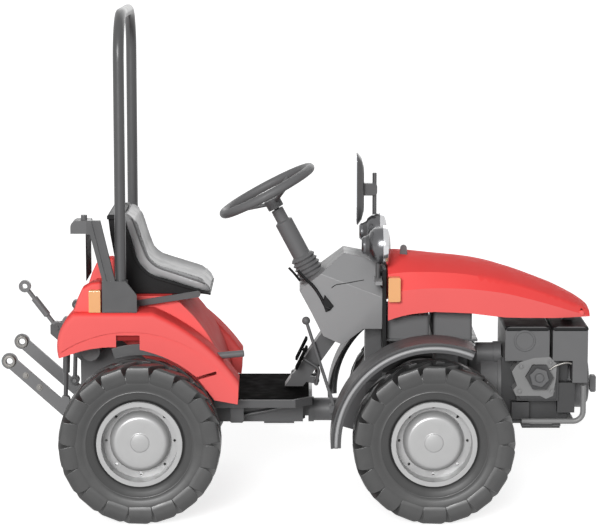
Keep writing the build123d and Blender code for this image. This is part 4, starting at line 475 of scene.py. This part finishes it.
# Shares of half width and height down the cushion's side
CUSHION_SIDE = ((1.0, 0.80), (1.0, 0.50), (0.985, 0.15))
VOXEL = 0.006
PRESSURE = 4.0
CLOTH_FRAMES = 20
CLOTH_CAP = 0.006
PIPING_R = 0.0035
PIPING_PROUD = 0.0015
PIPING_SIDES = 8
PIPING_REACH = 0.02  # how far outside the cushion its line is dropped from
PIPING_EVEN = 4  # passes that even out the piping's line
PALE_SIDE_SHARE = 0.45  # share of a face's direction to the side above which it takes the paler tone
SKIRT_HALF_W = 0.166
SEAT_PLAY = 0.0005
SKIRT = ((-0.125, 0.762), (-0.118, 0.700), (-0.090, 0.541), (-0.045, 0.4835), (0.205, 0.4835))


def seat_line():
    """Places along the seat from the lip to the top, each with the direction square to the shell."""
    pan = (SEAT_LIP - SEAT_BEND).normalized()
    lean = (SEAT_TOP - SEAT_BEND).normalized()
    over = Vector((-pan.z, 0, pan.x))
    square = Vector((lean.z, 0, -lean.x))
    centre = SEAT_BEND + (over + square) * SEAT_BEND_R / (1 + over.dot(square))
    turn = acos(over.dot(square))
    foot = centre - over * SEAT_BEND_R
    line = [(SEAT_LIP.lerp(foot, n / PAN_STEPS), over) for n in range(PAN_STEPS)]
    for n in range(BEND_STEPS):
        normal = Matrix.Rotation(turn * n / (BEND_STEPS - 1), 3, "Y") @ over
        line.append((centre - normal * SEAT_BEND_R, normal))
    head = centre - square * SEAT_BEND_R
    line += [(head.lerp(SEAT_TOP, n / PAN_STEPS), square) for n in range(1, PAN_STEPS + 1)]
    return line


def cushion_section(half, low, high, dish):
    """Points round the cushion's section as distance from the middle and lift."""
    steps = [n / CUSHION_COLUMNS for n in range(-CUSHION_COLUMNS, CUSHION_COLUMNS + 1)]
    top = [(half * CUSHION_SHOULDER * t, high - dish * (1 - t**4)) for t in steps]
    side = [(half * share, high * rise + low * (1 - rise)) for share, rise in CUSHION_SIDE]
    bottom = [(-half * CUSHION_FOOT * t, low) for t in steps]
    return top + side + bottom + [(-y, lift) for y, lift in reversed(side)]


def applied(piece):
    """A piece's mesh with its modifiers applied."""
    return bpy.data.meshes.new_from_object(piece.evaluated_get(bpy.context.evaluated_depsgraph_get()))


def stuff(piece):
    """Swells a cushion by cloth under pressure, no further than the cap, and leaves a plain mesh."""
    remesh = piece.modifiers.new("remesh", "REMESH")
    remesh.mode = "VOXEL"
    remesh.voxel_size = VOXEL
    mesh = applied(piece)
    piece.modifiers.clear()
    piece.data = mesh
    cloth = piece.modifiers.new("cloth", "CLOTH")
    cloth.settings.use_pressure = True
    cloth.settings.uniform_pressure_force = PRESSURE
    cloth.settings.effector_weights.gravity = 0
    cloth.point_cache.frame_end = CLOTH_FRAMES
    for number in range(1, CLOTH_FRAMES + 1):
        scene.frame_set(number)
    swollen = applied(piece)
    piece.modifiers.clear()
    for vertex, moved in zip(mesh.vertices, swollen.vertices):
        move = moved.co - vertex.co
        move.length = min(move.length, CLOTH_CAP)
        vertex.co += move
    scene.frame_set(1)
    for face in mesh.polygons:
        face.use_smooth = True
    return mesh


def add_seat():
    """Shell with its hook, cushion with light sides, and piping along the cushion's edges."""
    line = seat_line()
    bm = bmesh.new()
    rings = []
    for place, normal in line:
        corners = ((-SHELL_HALF_W, 0), (SHELL_HALF_W, 0), (SHELL_HALF_W, SHELL_T), (-SHELL_HALF_W, SHELL_T))
        rings.append([bm.verts.new(place + ALONG_Y * y + normal * lift) for y, lift in corners])
    skin(bm, rings)
    bm.faces.new(rings[0])
    bm.faces.new(rings[-1])
    back, drop = HOOK
    x, z = SEAT_TOP.x, SEAT_TOP.z
    hook = (
        (x + SHELL_T, z - drop / 4),
        (x, z),
        (x - back * 0.8, z),
        (x - back, z - drop / 3),
        (x - back, z - drop),
        (x, z - drop),
    )
    prism(bm, hook, -SHELL_HALF_W, SHELL_HALF_W)
    under = [place - normal * SEAT_PLAY for place, normal in line]
    skirt = [(spot.x, spot.z) for spot in under] + [(rear(*spot).x, rear(*spot).z) for spot in SKIRT]
    prism(bm, skirt, -SKIRT_HALF_W, SKIRT_HALF_W)
    slot = slots["seat_shell"]
    shell = add_piece("seat_back_shell", bm, "rear_half", slot, FINISHES["black_plastic"], edge=SHELL_EDGE)
    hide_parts("seat_shell")

    bm = bmesh.new()
    rings = []
    full = [(1, 1)] * (len(line) - 2 * len(CUSHION_ENDS))
    shares = [*CUSHION_ENDS, *full, *reversed(CUSHION_ENDS)]
    for (place, normal), (wide, tall) in zip(line, shares):
        high = CUSHION_LOW + (CUSHION_HIGH - CUSHION_LOW) * tall
        section = cushion_section(CUSHION_HALF_W * wide, CUSHION_LOW, high, CUSHION_DISH * tall)
        rings.append([bm.verts.new(place + ALONG_Y * y + normal * lift) for y, lift in section])
    skin(bm, rings)
    bm.faces.new(rings[0])
    bm.faces.new(rings[-1])
    cushion = add_piece("seat_pad", bm, "rear_half", "seat_vinyl", FINISHES["seat_vinyl"], PALE_SIDE_TONE)
    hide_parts("seat_cushion")
    mesh = stuff(cushion)
    # faces that look to the side take the paler tone
    for face in mesh.polygons:
        face.material_index = int(abs(face.normal.y) > PALE_SIDE_SHARE)
    round_off = cushion.modifiers.new("round", "SUBSURF")
    round_off.levels = 1
    round_off.render_levels = 1

    bpy.context.view_layer.update()
    bm = bmesh.new()
    for side in (1, -1):
        run = []
        for (place, square), (wide, tall) in list(zip(line, shares))[1:-1]:
            lift = CUSHION_LOW + (CUSHION_HIGH - CUSHION_LOW) * tall
            beside = ALONG_Y * side * (CUSHION_HALF_W * wide + PIPING_REACH)
            outside = place + beside + square * (lift + PIPING_REACH)
            _, spot, normal, _ = cushion.closest_point_on_mesh(outside)
            run.append(spot + normal * PIPING_PROUD)
        for _ in range(PIPING_EVEN):
            run[1:-1] = [(a + b * 2 + c) / 4 for a, b, c in zip(run, run[1:], run[2:])]
        tube(bm, run, PIPING_R, PIPING_SIDES)
    add_piece("seat_piping", bm, "rear_half", "seat_vinyl", FINISHES["seat_vinyl"])


add_seat()

# Headlamps: bowl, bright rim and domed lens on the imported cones, from the bowl's back
LAMP_BACK = -0.233
LAMP_RISE = 0.662
LAMP_Y = 0.185
LAMP_BOWL = (
    (-0.016, 0.0), (-0.016, 0.024), (-0.010, 0.031), (0.004, 0.034), (0.010, 0.038), (0.015, 0.050),
    (0.030, 0.0625), (0.046, 0.067), (0.059, 0.0685), (0.060, 0.0),
)
LAMP_RIM = (
    (0.058, 0.0665), (0.060, 0.0705), (0.072, 0.0712), (0.0785, 0.069), (0.0795, 0.064), (0.076, 0.0605),
)
LAMP_LENS = (
    (0.071, 0.0), (0.071, 0.0597), (0.078, 0.0597), (0.0835, 0.042), (0.0868, 0.022), (0.088, 0.0),
)
LAMP_STEPS = 48
LAMP_EDGE = 0.001
lamp_forms = (
    ("lamp_bowls", LAMP_BOWL, slots["headlamps"], LAMP_METAL, None),
    ("lamp_rims", LAMP_RIM, "steel", CHROME, None),
    ("lamp_glasses", LAMP_LENS, "lens", FINISHES["lens"], "lamp_lenses"),
)
for name, profile, slot, material, replaced in lamp_forms:
    bm = bmesh.new()
    for side in (1, -1):
        back = front(LAMP_BACK, LAMP_RISE, side * LAMP_Y)
        turned(bm, profile, back, ALONG_X, LAMP_STEPS, loop=profile is LAMP_RIM)
    piece = add_piece(name, bm, "front_half", slot, material, edge=LAMP_EDGE)
    if replaced:
        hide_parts(replaced)

# Steering column and bellows, along the wheel's axis from its middle
STEER_AXIS = Vector((-0.469471563, 0, 0.882947593))
STEER_AT = front(-0.589, 0.837)
COLUMN_FOOT = -0.367
COLUMN_STEP = -0.123
COLUMN_TOP = -0.0775
COLUMN_RADII = (0.033, 0.023)
BELLOWS_PITCH = 0.016
BELLOWS_RINGS = 6
BELLOWS_RADII = (0.054, 0.047)
BELLOWS_FOLD = 0.007
BELLOWS_NECK = 0.004
COLUMN_CHAMFER = 0.006
COLUMN_STEPS = 40
COLUMN_EDGE = 0.001


def add_column():
    """A ribbed rubber bellows and a stepped tube."""
    profile = [(COLUMN_FOOT, 0.0)]
    first, last = BELLOWS_RADII
    for n in range(BELLOWS_RINGS):
        radius = first + (last - first) * n / (BELLOWS_RINGS - 1)
        start = COLUMN_FOOT + n * BELLOWS_PITCH
        profile += [(start, radius - BELLOWS_FOLD), (start + BELLOWS_PITCH / 2, radius)]
    low, high = COLUMN_RADII
    end = COLUMN_FOOT + BELLOWS_RINGS * BELLOWS_PITCH
    profile += [(end, last - BELLOWS_FOLD), (end + BELLOWS_NECK, low), (COLUMN_STEP - COLUMN_CHAMFER, low)]
    profile += [(COLUMN_STEP, high), (COLUMN_TOP, high), (COLUMN_TOP, 0.0)]
    bm = bmesh.new()
    turned(bm, profile, STEER_AT, STEER_AXIS, COLUMN_STEPS)
    piece = add_piece("column_tube", bm, "front_half", slots["steering_column"], edge=COLUMN_EDGE)
    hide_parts("steering_column")


add_column()

# Hood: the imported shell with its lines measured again. Each station is a place ahead of the front axle,
# the heights of lower edge, waist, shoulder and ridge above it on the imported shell, and how far each moves.
HOOD_STATIONS = (
    (-0.155, (0.371, 0.512, 0.582, 0.613), (0.025, -0.008, -0.022, 0.003)),
    (-0.040, (0.414, 0.512, 0.573, 0.604), (0.007, 0.001, -0.003, 0.008)),
    (0.078, (0.424, 0.512, 0.560, 0.590), (0.002, 0.002, 0.005, 0.009)),
    (0.261, (0.416, 0.485, 0.524, 0.553), (-0.010, 0.009, 0.007, 0.011)),
    (0.445, (0.402, 0.436, 0.458, 0.479), (-0.006, 0.005, 0.013, 0.020)),
    (0.545, (0.395, 0.405, 0.418, 0.434), (0.000, 0.002, 0.012, 0.012)),
    (0.578, (0.393, 0.396, 0.402, 0.412), (0.001, 0.001, 0.008, 0.008)),
)


def between(value, places, results):
    """A value read off a broken line, level beyond its ends."""
    for a, b, low, high in zip(places, places[1:], results, results[1:]):
        if value < b:
            share = max(0.0, (value - a) / (b - a))
            return low + (high - low) * share
    return results[-1]


def hood_move(x, z):
    """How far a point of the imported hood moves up."""
    places, heights, moves = zip(*HOOD_STATIONS)
    levels = [between(x, places, line) for line in zip(*heights)]
    steps = [between(x, places, line) for line in zip(*moves)]
    return between(z, levels, steps)


def add_hood():
    """The hood's shell, moved to its measured lines."""
    bm = bmesh.new()
    bm.from_mesh(nodes["hood"].data)
    bmesh.ops.remove_doubles(bm, verts=bm.verts, dist=WELD)
    for vertex in bm.verts:
        vertex.co.z += hood_move(vertex.co.x - FRONT_AXLE.x, vertex.co.z - FRONT_AXLE.z)
    piece = add_piece("hood_shell", bm, "hood", "red_paint", edge=EDGE_WIDTH)
    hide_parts("hood")


add_hood()

# Red caps on the hinge pin's holes in the hood's sides
PIN_AT = front(0.546, 0.4085)
PIN_SIDE = 0.139
PIN_CAP = ((-0.006, 0.0), (-0.006, 0.0105), (0.0012, 0.0105), (0.0026, 0.008), (0.0030, 0.0))
PIN_STEPS = 28
bm = bmesh.new()
for side in (1, -1):
    turned(bm, PIN_CAP, PIN_AT + ALONG_Y * side * PIN_SIDE, ALONG_Y * side, PIN_STEPS)
add_piece("hinge_caps", bm, "hood", "red_paint")

# Under the floor: a rod along the frame and a foot on each side
FLOOR_ROD = ((-0.211, -0.117, 0.314), (-0.113, -0.117, 0.332), (-0.048, -0.117, 0.347))
FLOOR_ROD_R = 0.0075
FLOOR_FOOT = (
    (-0.255, 0.309), (-0.250, 0.306), (-0.211, 0.306), (-0.206, 0.312), (-0.206, 0.369), (-0.255, 0.369),
)
FLOOR_FOOT_Y = (0.185, 0.215)
FLOOR_EDGE = 0.0015
bm = bmesh.new()
tube(bm, FLOOR_ROD, FLOOR_ROD_R)
for side in (1, -1):
    prism(bm, FLOOR_FOOT, *sorted(side * y for y in FLOOR_FOOT_Y))
add_piece("floor_fittings", bm, "rear_half", "grey_paint", edge=FLOOR_EDGE)

# Bulkhead on the console's front, behind the hood's open end
BULKHEAD = ((0.2905, 0.560), (0.305, 0.560), (0.305, 0.862), (0.2905, 0.862))
BULKHEAD_HALF_W = 0.215
BULKHEAD_EDGE = 0.002
bm = bmesh.new()
prism(bm, BULKHEAD, -BULKHEAD_HALF_W, BULKHEAD_HALF_W)
add_piece("bulkhead", bm, "front_half", "black_plastic", edge=BULKHEAD_EDGE)

# Hood catch: an upright tab beside the middle of the hood
KNOB_AT = (-0.094, -0.060)
KNOB_FOOT = 0.590
KNOB_TOP = 0.647
KNOB_W = 0.024
KNOB_T = 0.016
KNOB_FLARE = 1.25
KNOB_STEPS = 10
KNOB_EDGE = 0.003


def add_knob():
    """A rounded tab standing on the hood."""
    x, y = KNOB_AT
    half = KNOB_W / 2
    turns = [pi * n / KNOB_STEPS for n in range(KNOB_STEPS + 1)]
    arc = [(half * cos(a), KNOB_TOP - half + half * sin(a)) for a in turns]
    foot = half * KNOB_FLARE
    outline = [(foot, KNOB_FOOT), *arc, (-foot, KNOB_FOOT)]
    bm = bmesh.new()
    spots = [(front(x + dx, dz).x, front(x + dx, dz).z) for dx, dz in outline]
    prism(bm, spots, y - KNOB_T / 2, y + KNOB_T / 2)
    piece = add_piece("hood_catch", bm, "hood", slots["hood_knob"], edge=KNOB_EDGE)
    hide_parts("hood_knob")


add_knob()

# Trim along the front fenders' outer edges, and liners and recesses in the rear fenders
TRIM_R = 0.343
TRIM_Y = 0.4885
TRIM_BEAD = 0.0065
TRIM_FROM = radians(67)
TRIM_TO = radians(182)
TRIM_STEPS = 40
LINER_R = 0.294
LINER_T = 0.040
LINER_Y = (0.350, 0.357)
LINER_FROM = radians(68)
LINER_TO = radians(108)
LINER_STEPS = 24
FENDER_EDGE = 0.0015
RECESS = ((-0.100, 0.345), (0.008, 0.345), (0.008, 0.428), (-0.100, 0.428))
RECESS_Y = (0.345, 0.350)

# The bead along each front fender's lip is pale grey: a painted highlight.
bm = bmesh.new()
for side in (1, -1):
    turns = [TRIM_FROM + (TRIM_TO - TRIM_FROM) * n / TRIM_STEPS for n in range(TRIM_STEPS + 1)]
    tube(bm, [front(TRIM_R * cos(a), TRIM_R * sin(a), side * TRIM_Y) for a in turns], TRIM_BEAD)
add_piece("fender_trims", bm, "front_half", slots["front_fender_left"], LIP_HIGHLIGHT_GREY)

bm = bmesh.new()
for side in (1, -1):
    rings = []
    inner, outer = LINER_Y
    top = LINER_R + LINER_T
    corners = ((inner, LINER_R), (outer, LINER_R), (outer, top), (inner, top))
    for n in range(LINER_STEPS + 1):
        turn = LINER_FROM + (LINER_TO - LINER_FROM) * n / LINER_STEPS
        rings.append([bm.verts.new(rear(r * cos(turn), r * sin(turn), side * y)) for y, r in corners])
    skin(bm, rings)
    bm.faces.new(rings[0])
    bm.faces.new(rings[-1])
add_piece("arch_liners", bm, "rear_half", "grey_paint", edge=FENDER_EDGE)

# The recesses take a deeper red: painted shade.
bm = bmesh.new()
for side in (1, -1):
    outline = [(rear(*spot).x, rear(*spot).z) for spot in RECESS]
    prism(bm, outline, *sorted(side * y for y in RECESS_Y))
add_piece("fender_recesses", bm, "rear_half", "red_paint", RECESS_SHADE_RED, edge=FENDER_EDGE)

# Engine: a ring and dark caps on the covers, and a head plate, a hexagon cover and a rod on the right
RING_AT = (0.802, 0.603)
RING = ((0.0, 0.030), (0.003, 0.033), (0.003, 0.037), (0.0, 0.040))
RING_STEPS = 40
RING_EDGE = 0.0008
HEAD_PLATE = (
    (0.771, 0.512), (0.789, 0.526), (0.839, 0.541), (0.893, 0.544), (0.918, 0.519), (0.916, 0.468),
    (0.906, 0.402), (0.881, 0.391), (0.859, 0.402), (0.773, 0.402), (0.762, 0.424), (0.776, 0.439),
    (0.757, 0.490),
)
HEAD_PLATE_Y = (-0.2005, -0.128)
HEAD_BOLTS = ((0.790, 0.510), (0.895, 0.525), (0.900, 0.420), (0.785, 0.420))
HEAD_BOLT_R = 0.007
HEAD_BOLT_H = 0.008
HEAD_EDGE = 0.004
THROTTLE = ((0.886, -0.204, 0.494), (0.914, -0.206, 0.513), (0.950, -0.206, 0.524), (0.972, -0.203, 0.520))
THROTTLE_R = 0.0035
HEX_AT = (0.853, 0.475)
HEX = ((0.0, 0.0), (0.0, 0.036), (0.005, 0.036), (0.005, 0.0))
HEX_BOSS = ((0.0, 0.0), (0.0, 0.017), (0.010, 0.017), (0.013, 0.013), (0.013, 0.0))
HEX_BOSS_STEPS = 28
HEX_EDGE = 0.002
CAPS = ((0.731, 0.893), (0.901, 1.031))
CAP_Y = (-0.2015, 0.1415)
CAP_Z = (0.634, 0.6555)
CAP_EDGE = 0.008

bm = bmesh.new()
turned(bm, RING, on_side("engine_covers", *RING_AT), -ALONG_Y, RING_STEPS, loop=True)
add_piece("cover_ring", bm, "front_half", slots["engine_covers"], edge=RING_EDGE)

bm = bmesh.new()
prism(bm, HEAD_PLATE, *HEAD_PLATE_Y)
for x, z in HEAD_BOLTS:
    bolt(bm, Vector((x, HEAD_PLATE_Y[0], z)), -ALONG_Y, HEAD_BOLT_R, HEAD_BOLT_H)
add_piece("head_plate", bm, "front_half", "cast_grey", LIGHT_CAST, edge=HEAD_EDGE)

bm = bmesh.new()
hex_face = on_side("engine", *HEX_AT)
turned(bm, HEX, hex_face, -ALONG_Y, HEXAGON)
turned(bm, HEX_BOSS, hex_face, -ALONG_Y, HEX_BOSS_STEPS)
add_piece("hex_cover", bm, "front_half", "cast_grey", edge=HEX_EDGE)

bm = bmesh.new()
low, high = CAP_Z
for start, end in CAPS:
    prism(bm, ((start, low), (end, low), (end, high), (start, high)), *CAP_Y)
add_piece("cover_caps", bm, "front_half", "black_plastic", edge=CAP_EDGE)

bm = bmesh.new()
tube(bm, smooth_line(THROTTLE), THROTTLE_R)
add_piece("throttle_rod", bm, "front_half", "steel")

# Hitch: ball rings at the ends of the lower links and bolts along them
LINK_PIN = (-0.200, -0.008)
LINK_RISE = radians(42)
LINK_RUN = Vector((-cos(LINK_RISE), 0, sin(LINK_RISE)))
LINK_L = 0.378
LINK_Y = 0.200
LINK_BALL = (
    (-0.013, 0.013), (-0.013, 0.020), (-0.008, 0.0245), (0.008, 0.0245), (0.013, 0.020), (0.013, 0.013),
)
LINK_BOLTS = (0.075, 0.235, 0.300)
LINK_BOLT_R = 0.008
LINK_BOLT_H = 0.007
LINK_HALF_T = 0.006
LINK_EDGE = 0.0008

bm = bmesh.new()
for side in (1, -1):
    foot = rear(*LINK_PIN, side * LINK_Y)
    for reach in (0.0, LINK_L):
        turned(bm, LINK_BALL, foot + LINK_RUN * reach, ALONG_Y, loop=True)
    out = ALONG_Y * side
    for reach in LINK_BOLTS:
        bolt(bm, foot + LINK_RUN * reach + out * LINK_HALF_T, out, LINK_BOLT_R, LINK_BOLT_H)
add_piece("link_fittings", bm, "lower_links", "steel", edge=LINK_EDGE)

# Wheels: a steep dome with a hub cap over the middle of each disc, from the disc's face
DOME = (
    (0.0, 0.1075), (0.014, 0.1065), (0.030, 0.102), (0.038, 0.096), (0.0422, 0.089), (0.0428, 0.084),
    (0.0430, 0.070),
)
HUB_CAP = ((0.0430, 0.036), (0.0430, 0.033), (0.0455, 0.032), (0.0460, 0.030), (0.0460, 0.0))
DOME_SEAT_R = 0.113
DOME_STEPS = 64
WHEELS = {node.replace("tyre", "wheel"): body for node, body in TYRES.items()}
for node, body in WHEELS.items():
    middle = middle_of(node)
    twin = node.replace("left", "right")
    face = on_side(twin, middle.x + DOME_SEAT_R, middle.z).y
    out = ALONG_Y if middle.y > 0 else -ALONG_Y
    bm = bmesh.new()
    turned(bm, DOME + HUB_CAP, Vector((middle.x, 0, middle.z)) - out * face, out, DOME_STEPS)
    add_piece(node + "_dome", bm, body, "wheel_silver")

# Mirror: a tapered back and a clamp on its rod
MIRROR_TAPER = ((0.0, 1.0), (0.004, 1.0), (0.018, 0.86), (0.027, 0.62), (0.0275, 0.0))
MIRROR_MARGIN = 0.010
MIRROR_STEPS = 48
MIRROR_ROUND = (0.45, 0.35)  # powers that square the outline across and up
MIRROR_EDGE = 0.002
CLAMP = (
    (-0.232, 0.789), (-0.184, 0.789), (-0.180, 0.800), (-0.180, 0.824), (-0.184, 0.835), (-0.232, 0.835),
)
CLAMP_Y = (0.248, 0.280)
# The rod's place ahead of the front axle and to the left, and its ends above the axle
MIRROR_ROD_AT = (-0.190, 0.264)
MIRROR_ROD_ENDS = (0.535, 0.874)
MIRROR_ROD_R = 0.008
MIRROR_ROD_SIDES = 16


def squared(value, power):
    """A sine or cosine pushed out towards one, for a rounded box."""
    return abs(value) ** power * (1 if value > 0 else -1)


def add_mirror_back():
    """A rounded shell that narrows behind the mirror's plate, with its clamp and rod."""
    low, high = (Vector(corner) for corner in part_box("mirror_glass"))
    middle = (low + high) / 2
    half_y = (high.y - low.y) / 2 + MIRROR_MARGIN
    half_z = (high.z - low.z) / 2 + MIRROR_MARGIN
    power_y, power_z = MIRROR_ROUND
    bm = bmesh.new()
    rings = []
    for along, share in MIRROR_TAPER:
        centre = Vector((high.x + along, middle.y, middle.z))
        ring = []
        for n in range(MIRROR_STEPS if share else 1):
            turn = 2 * pi * n / MIRROR_STEPS
            across = half_y * share * squared(cos(turn), power_y)
            rise = half_z * share * squared(sin(turn), power_z)
            ring.append(bm.verts.new(centre + Vector((0, across, rise))))
        rings.append(ring)
    skin(bm, rings)
    bm.faces.new(rings[0])
    prism(bm, [(front(*spot).x, front(*spot).z) for spot in CLAMP], *CLAMP_Y)
    x, y = MIRROR_ROD_AT
    tube(bm, [front(x, rise, y) for rise in MIRROR_ROD_ENDS], MIRROR_ROD_R, MIRROR_ROD_SIDES)
    piece = add_piece("mirror_shell", bm, "front_half", slots["mirror"], edge=MIRROR_EDGE)
    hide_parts("mirror")


add_mirror_back()

# Grip over the steering wheel's rim, with finger ridges on its underside
GRIP_R = 0.177
GRIP_T = 0.0165
GRIP_RIDGES = 90
GRIP_SIDES = 16
RIDGE_DEPTH = 0.0007
RIDGE_BELOW = -0.3  # sine round the rim below which the ridges start


def add_grip():
    """A padded ring round the rim, waved along its length."""
    side = STEER_AXIS.orthogonal().normalized()
    up = STEER_AXIS.cross(side)
    bm = bmesh.new()
    rings = []
    for n in range(2 * GRIP_RIDGES):
        turn = pi * n / GRIP_RIDGES
        out = side * cos(turn) + up * sin(turn)
        ring = []
        for k in range(GRIP_SIDES):
            around = 2 * pi * k / GRIP_SIDES
            thick = GRIP_T - RIDGE_DEPTH * (n % 2) * (sin(around) < RIDGE_BELOW)
            spot = STEER_AT + out * (GRIP_R + thick * cos(around))
            ring.append(bm.verts.new(spot + STEER_AXIS * thick * sin(around)))
        rings.append(ring)
    skin(bm, rings + rings[:1])
    add_piece("wheel_grip", bm, "steering_wheel", slots["steering_wheel"])


add_grip()

# Console: a strap lever with its foot, a stalk and the panel's seam
LEVER = ((-0.012, 0.850), (0.017, 0.818), (0.046, 0.789), (0.071, 0.752), (0.089, 0.719), (0.107, 0.712))
LEVER_R = 0.006
LEVER_EDGE = 0.002
LEVER_FOOT_AT = (0.098, 0.728)
LEVER_FOOT = (
    (0.084, 0.762), (0.100, 0.744), (0.118, 0.722), (0.104, 0.706), (0.088, 0.700), (0.078, 0.730),
)
LEVER_FOOT_PROUD = 0.009
LEVER_FOOT_SUNK = 0.010
STALK = ((-0.044, -0.120, 0.856), (-0.024, -0.118, 0.834), (-0.004, -0.112, 0.808))
STALK_R = 0.0045
SEAM = ((0.109, 0.787), (0.125, 0.799), (0.148, 0.804), (0.225, 0.817))
SEAM_R = 0.0016
SEAM_SIDES = 6
SEAM_STEPS = 5

bm = bmesh.new()
lever = [on_side("console", x, z, LEVER_R) for x, z in LEVER[2:]]
lever = [Vector((x, lever[0].y, z)) for x, z in LEVER[:2]] + lever
tube(bm, smooth_line(lever), LEVER_R)
foot = on_side("console", *LEVER_FOOT_AT).y
prism(bm, LEVER_FOOT, foot - LEVER_FOOT_PROUD, foot + LEVER_FOOT_SUNK)
add_piece("console_lever", bm, "front_half", "black_plastic", edge=LEVER_EDGE)

bm = bmesh.new()
tube(bm, smooth_line(STALK), STALK_R)
add_piece("console_stalk", bm, "front_half", "black_plastic")

bm = bmesh.new()
corners = smooth_line([Vector((x, 0, z)) for x, z in SEAM], SEAM_STEPS)
tube(bm, [on_side("console", spot.x, spot.z) for spot in corners], SEAM_R, SEAM_SIDES)
add_piece("console_seam", bm, "front_half", "black_plastic")


def add_light(name, source, strength, spread):
    """A sun that shines from one direction."""
    sun = bpy.data.lights.new(name, "SUN")
    sun.energy = strength
    sun.angle = spread
    lamp = bpy.data.objects.new(name, sun)
    lamp.rotation_euler = source.to_track_quat("Z", "Y").to_euler()
    scene.collection.objects.link(lamp)


def seen_directly(tree):
    """One for what the camera sees straight, in a reflection or through glass."""
    path = tree.nodes.new("ShaderNodeLightPath")
    total = path.outputs["Is Camera Ray"]
    for name in ("Is Glossy Ray", "Is Transmission Ray"):
        join = tree.nodes.new("ShaderNodeMath")
        join.operation = "MAXIMUM"
        tree.links.new(total, join.inputs[0])
        tree.links.new(path.outputs[name], join.inputs[1])
        total = join.outputs["Value"]
    return total


def add_floor():
    """A pale floor that keeps the tractor's shadow and shows white."""
    bm = bmesh.new()
    bmesh.ops.create_grid(bm, x_segments=1, y_segments=1, size=FLOOR_SIZE / 2)
    mesh = bpy.data.meshes.new("floor")
    bm.to_mesh(mesh)
    bm.free()
    floor = bpy.data.objects.new("floor", mesh)
    scene.collection.objects.link(floor)
    material = bpy.data.materials.new("floor")
    material.use_nodes = True
    tree = material.node_tree
    shader = tree.nodes["Principled BSDF"]
    shader.inputs["Base Color"].default_value = srgb(FLOOR_TONE, FLOOR_TONE, FLOOR_TONE)
    shader.inputs["Roughness"].default_value = 1.0
    shader.inputs["Specular IOR Level"].default_value = 0.0
    shader.inputs["Emission Color"].default_value = (1, 1, 1, 1)
    glow = tree.nodes.new("ShaderNodeMath")
    glow.operation = "MULTIPLY"
    glow.inputs[1].default_value = FLOOR_GLOW
    tree.links.new(seen_directly(tree), glow.inputs[0])
    tree.links.new(glow.outputs["Value"], shader.inputs["Emission Strength"])
    mesh.materials.append(material)


def add_world():
    """An even sky that shows white."""
    world = bpy.data.worlds.new("sky")
    world.use_nodes = True
    tree = world.node_tree
    sky = tree.nodes["Background"]
    level = tree.nodes.new("ShaderNodeMapRange")
    level.inputs["To Min"].default_value = SKY_STRENGTH
    level.inputs["To Max"].default_value = 1.0
    tree.links.new(seen_directly(tree), level.inputs["Value"])
    tree.links.new(level.outputs["Result"], sky.inputs["Strength"])
    sky.inputs["Color"].default_value = (1, 1, 1, 1)
    scene.world = world


def add_camera():
    """The picture's camera."""
    lens = bpy.data.cameras.new("camera")
    lens.sensor_width = SENSOR_MM
    lens.lens = LENS_MM
    lens.clip_end = 2 * FLOOR_SIZE
    camera = bpy.data.objects.new("camera", lens)
    camera.location = CAMERA_AT
    camera.rotation_euler = (CAMERA_PITCH, 0, 0)
    scene.collection.objects.link(camera)
    scene.camera = camera


add_light("key", KEY_FROM, KEY_STRENGTH, KEY_SPREAD)
add_light("fill", FILL_FROM, FILL_STRENGTH, FILL_SPREAD)
add_floor()
add_world()
add_camera()
scene.view_settings.view_transform = "Standard"
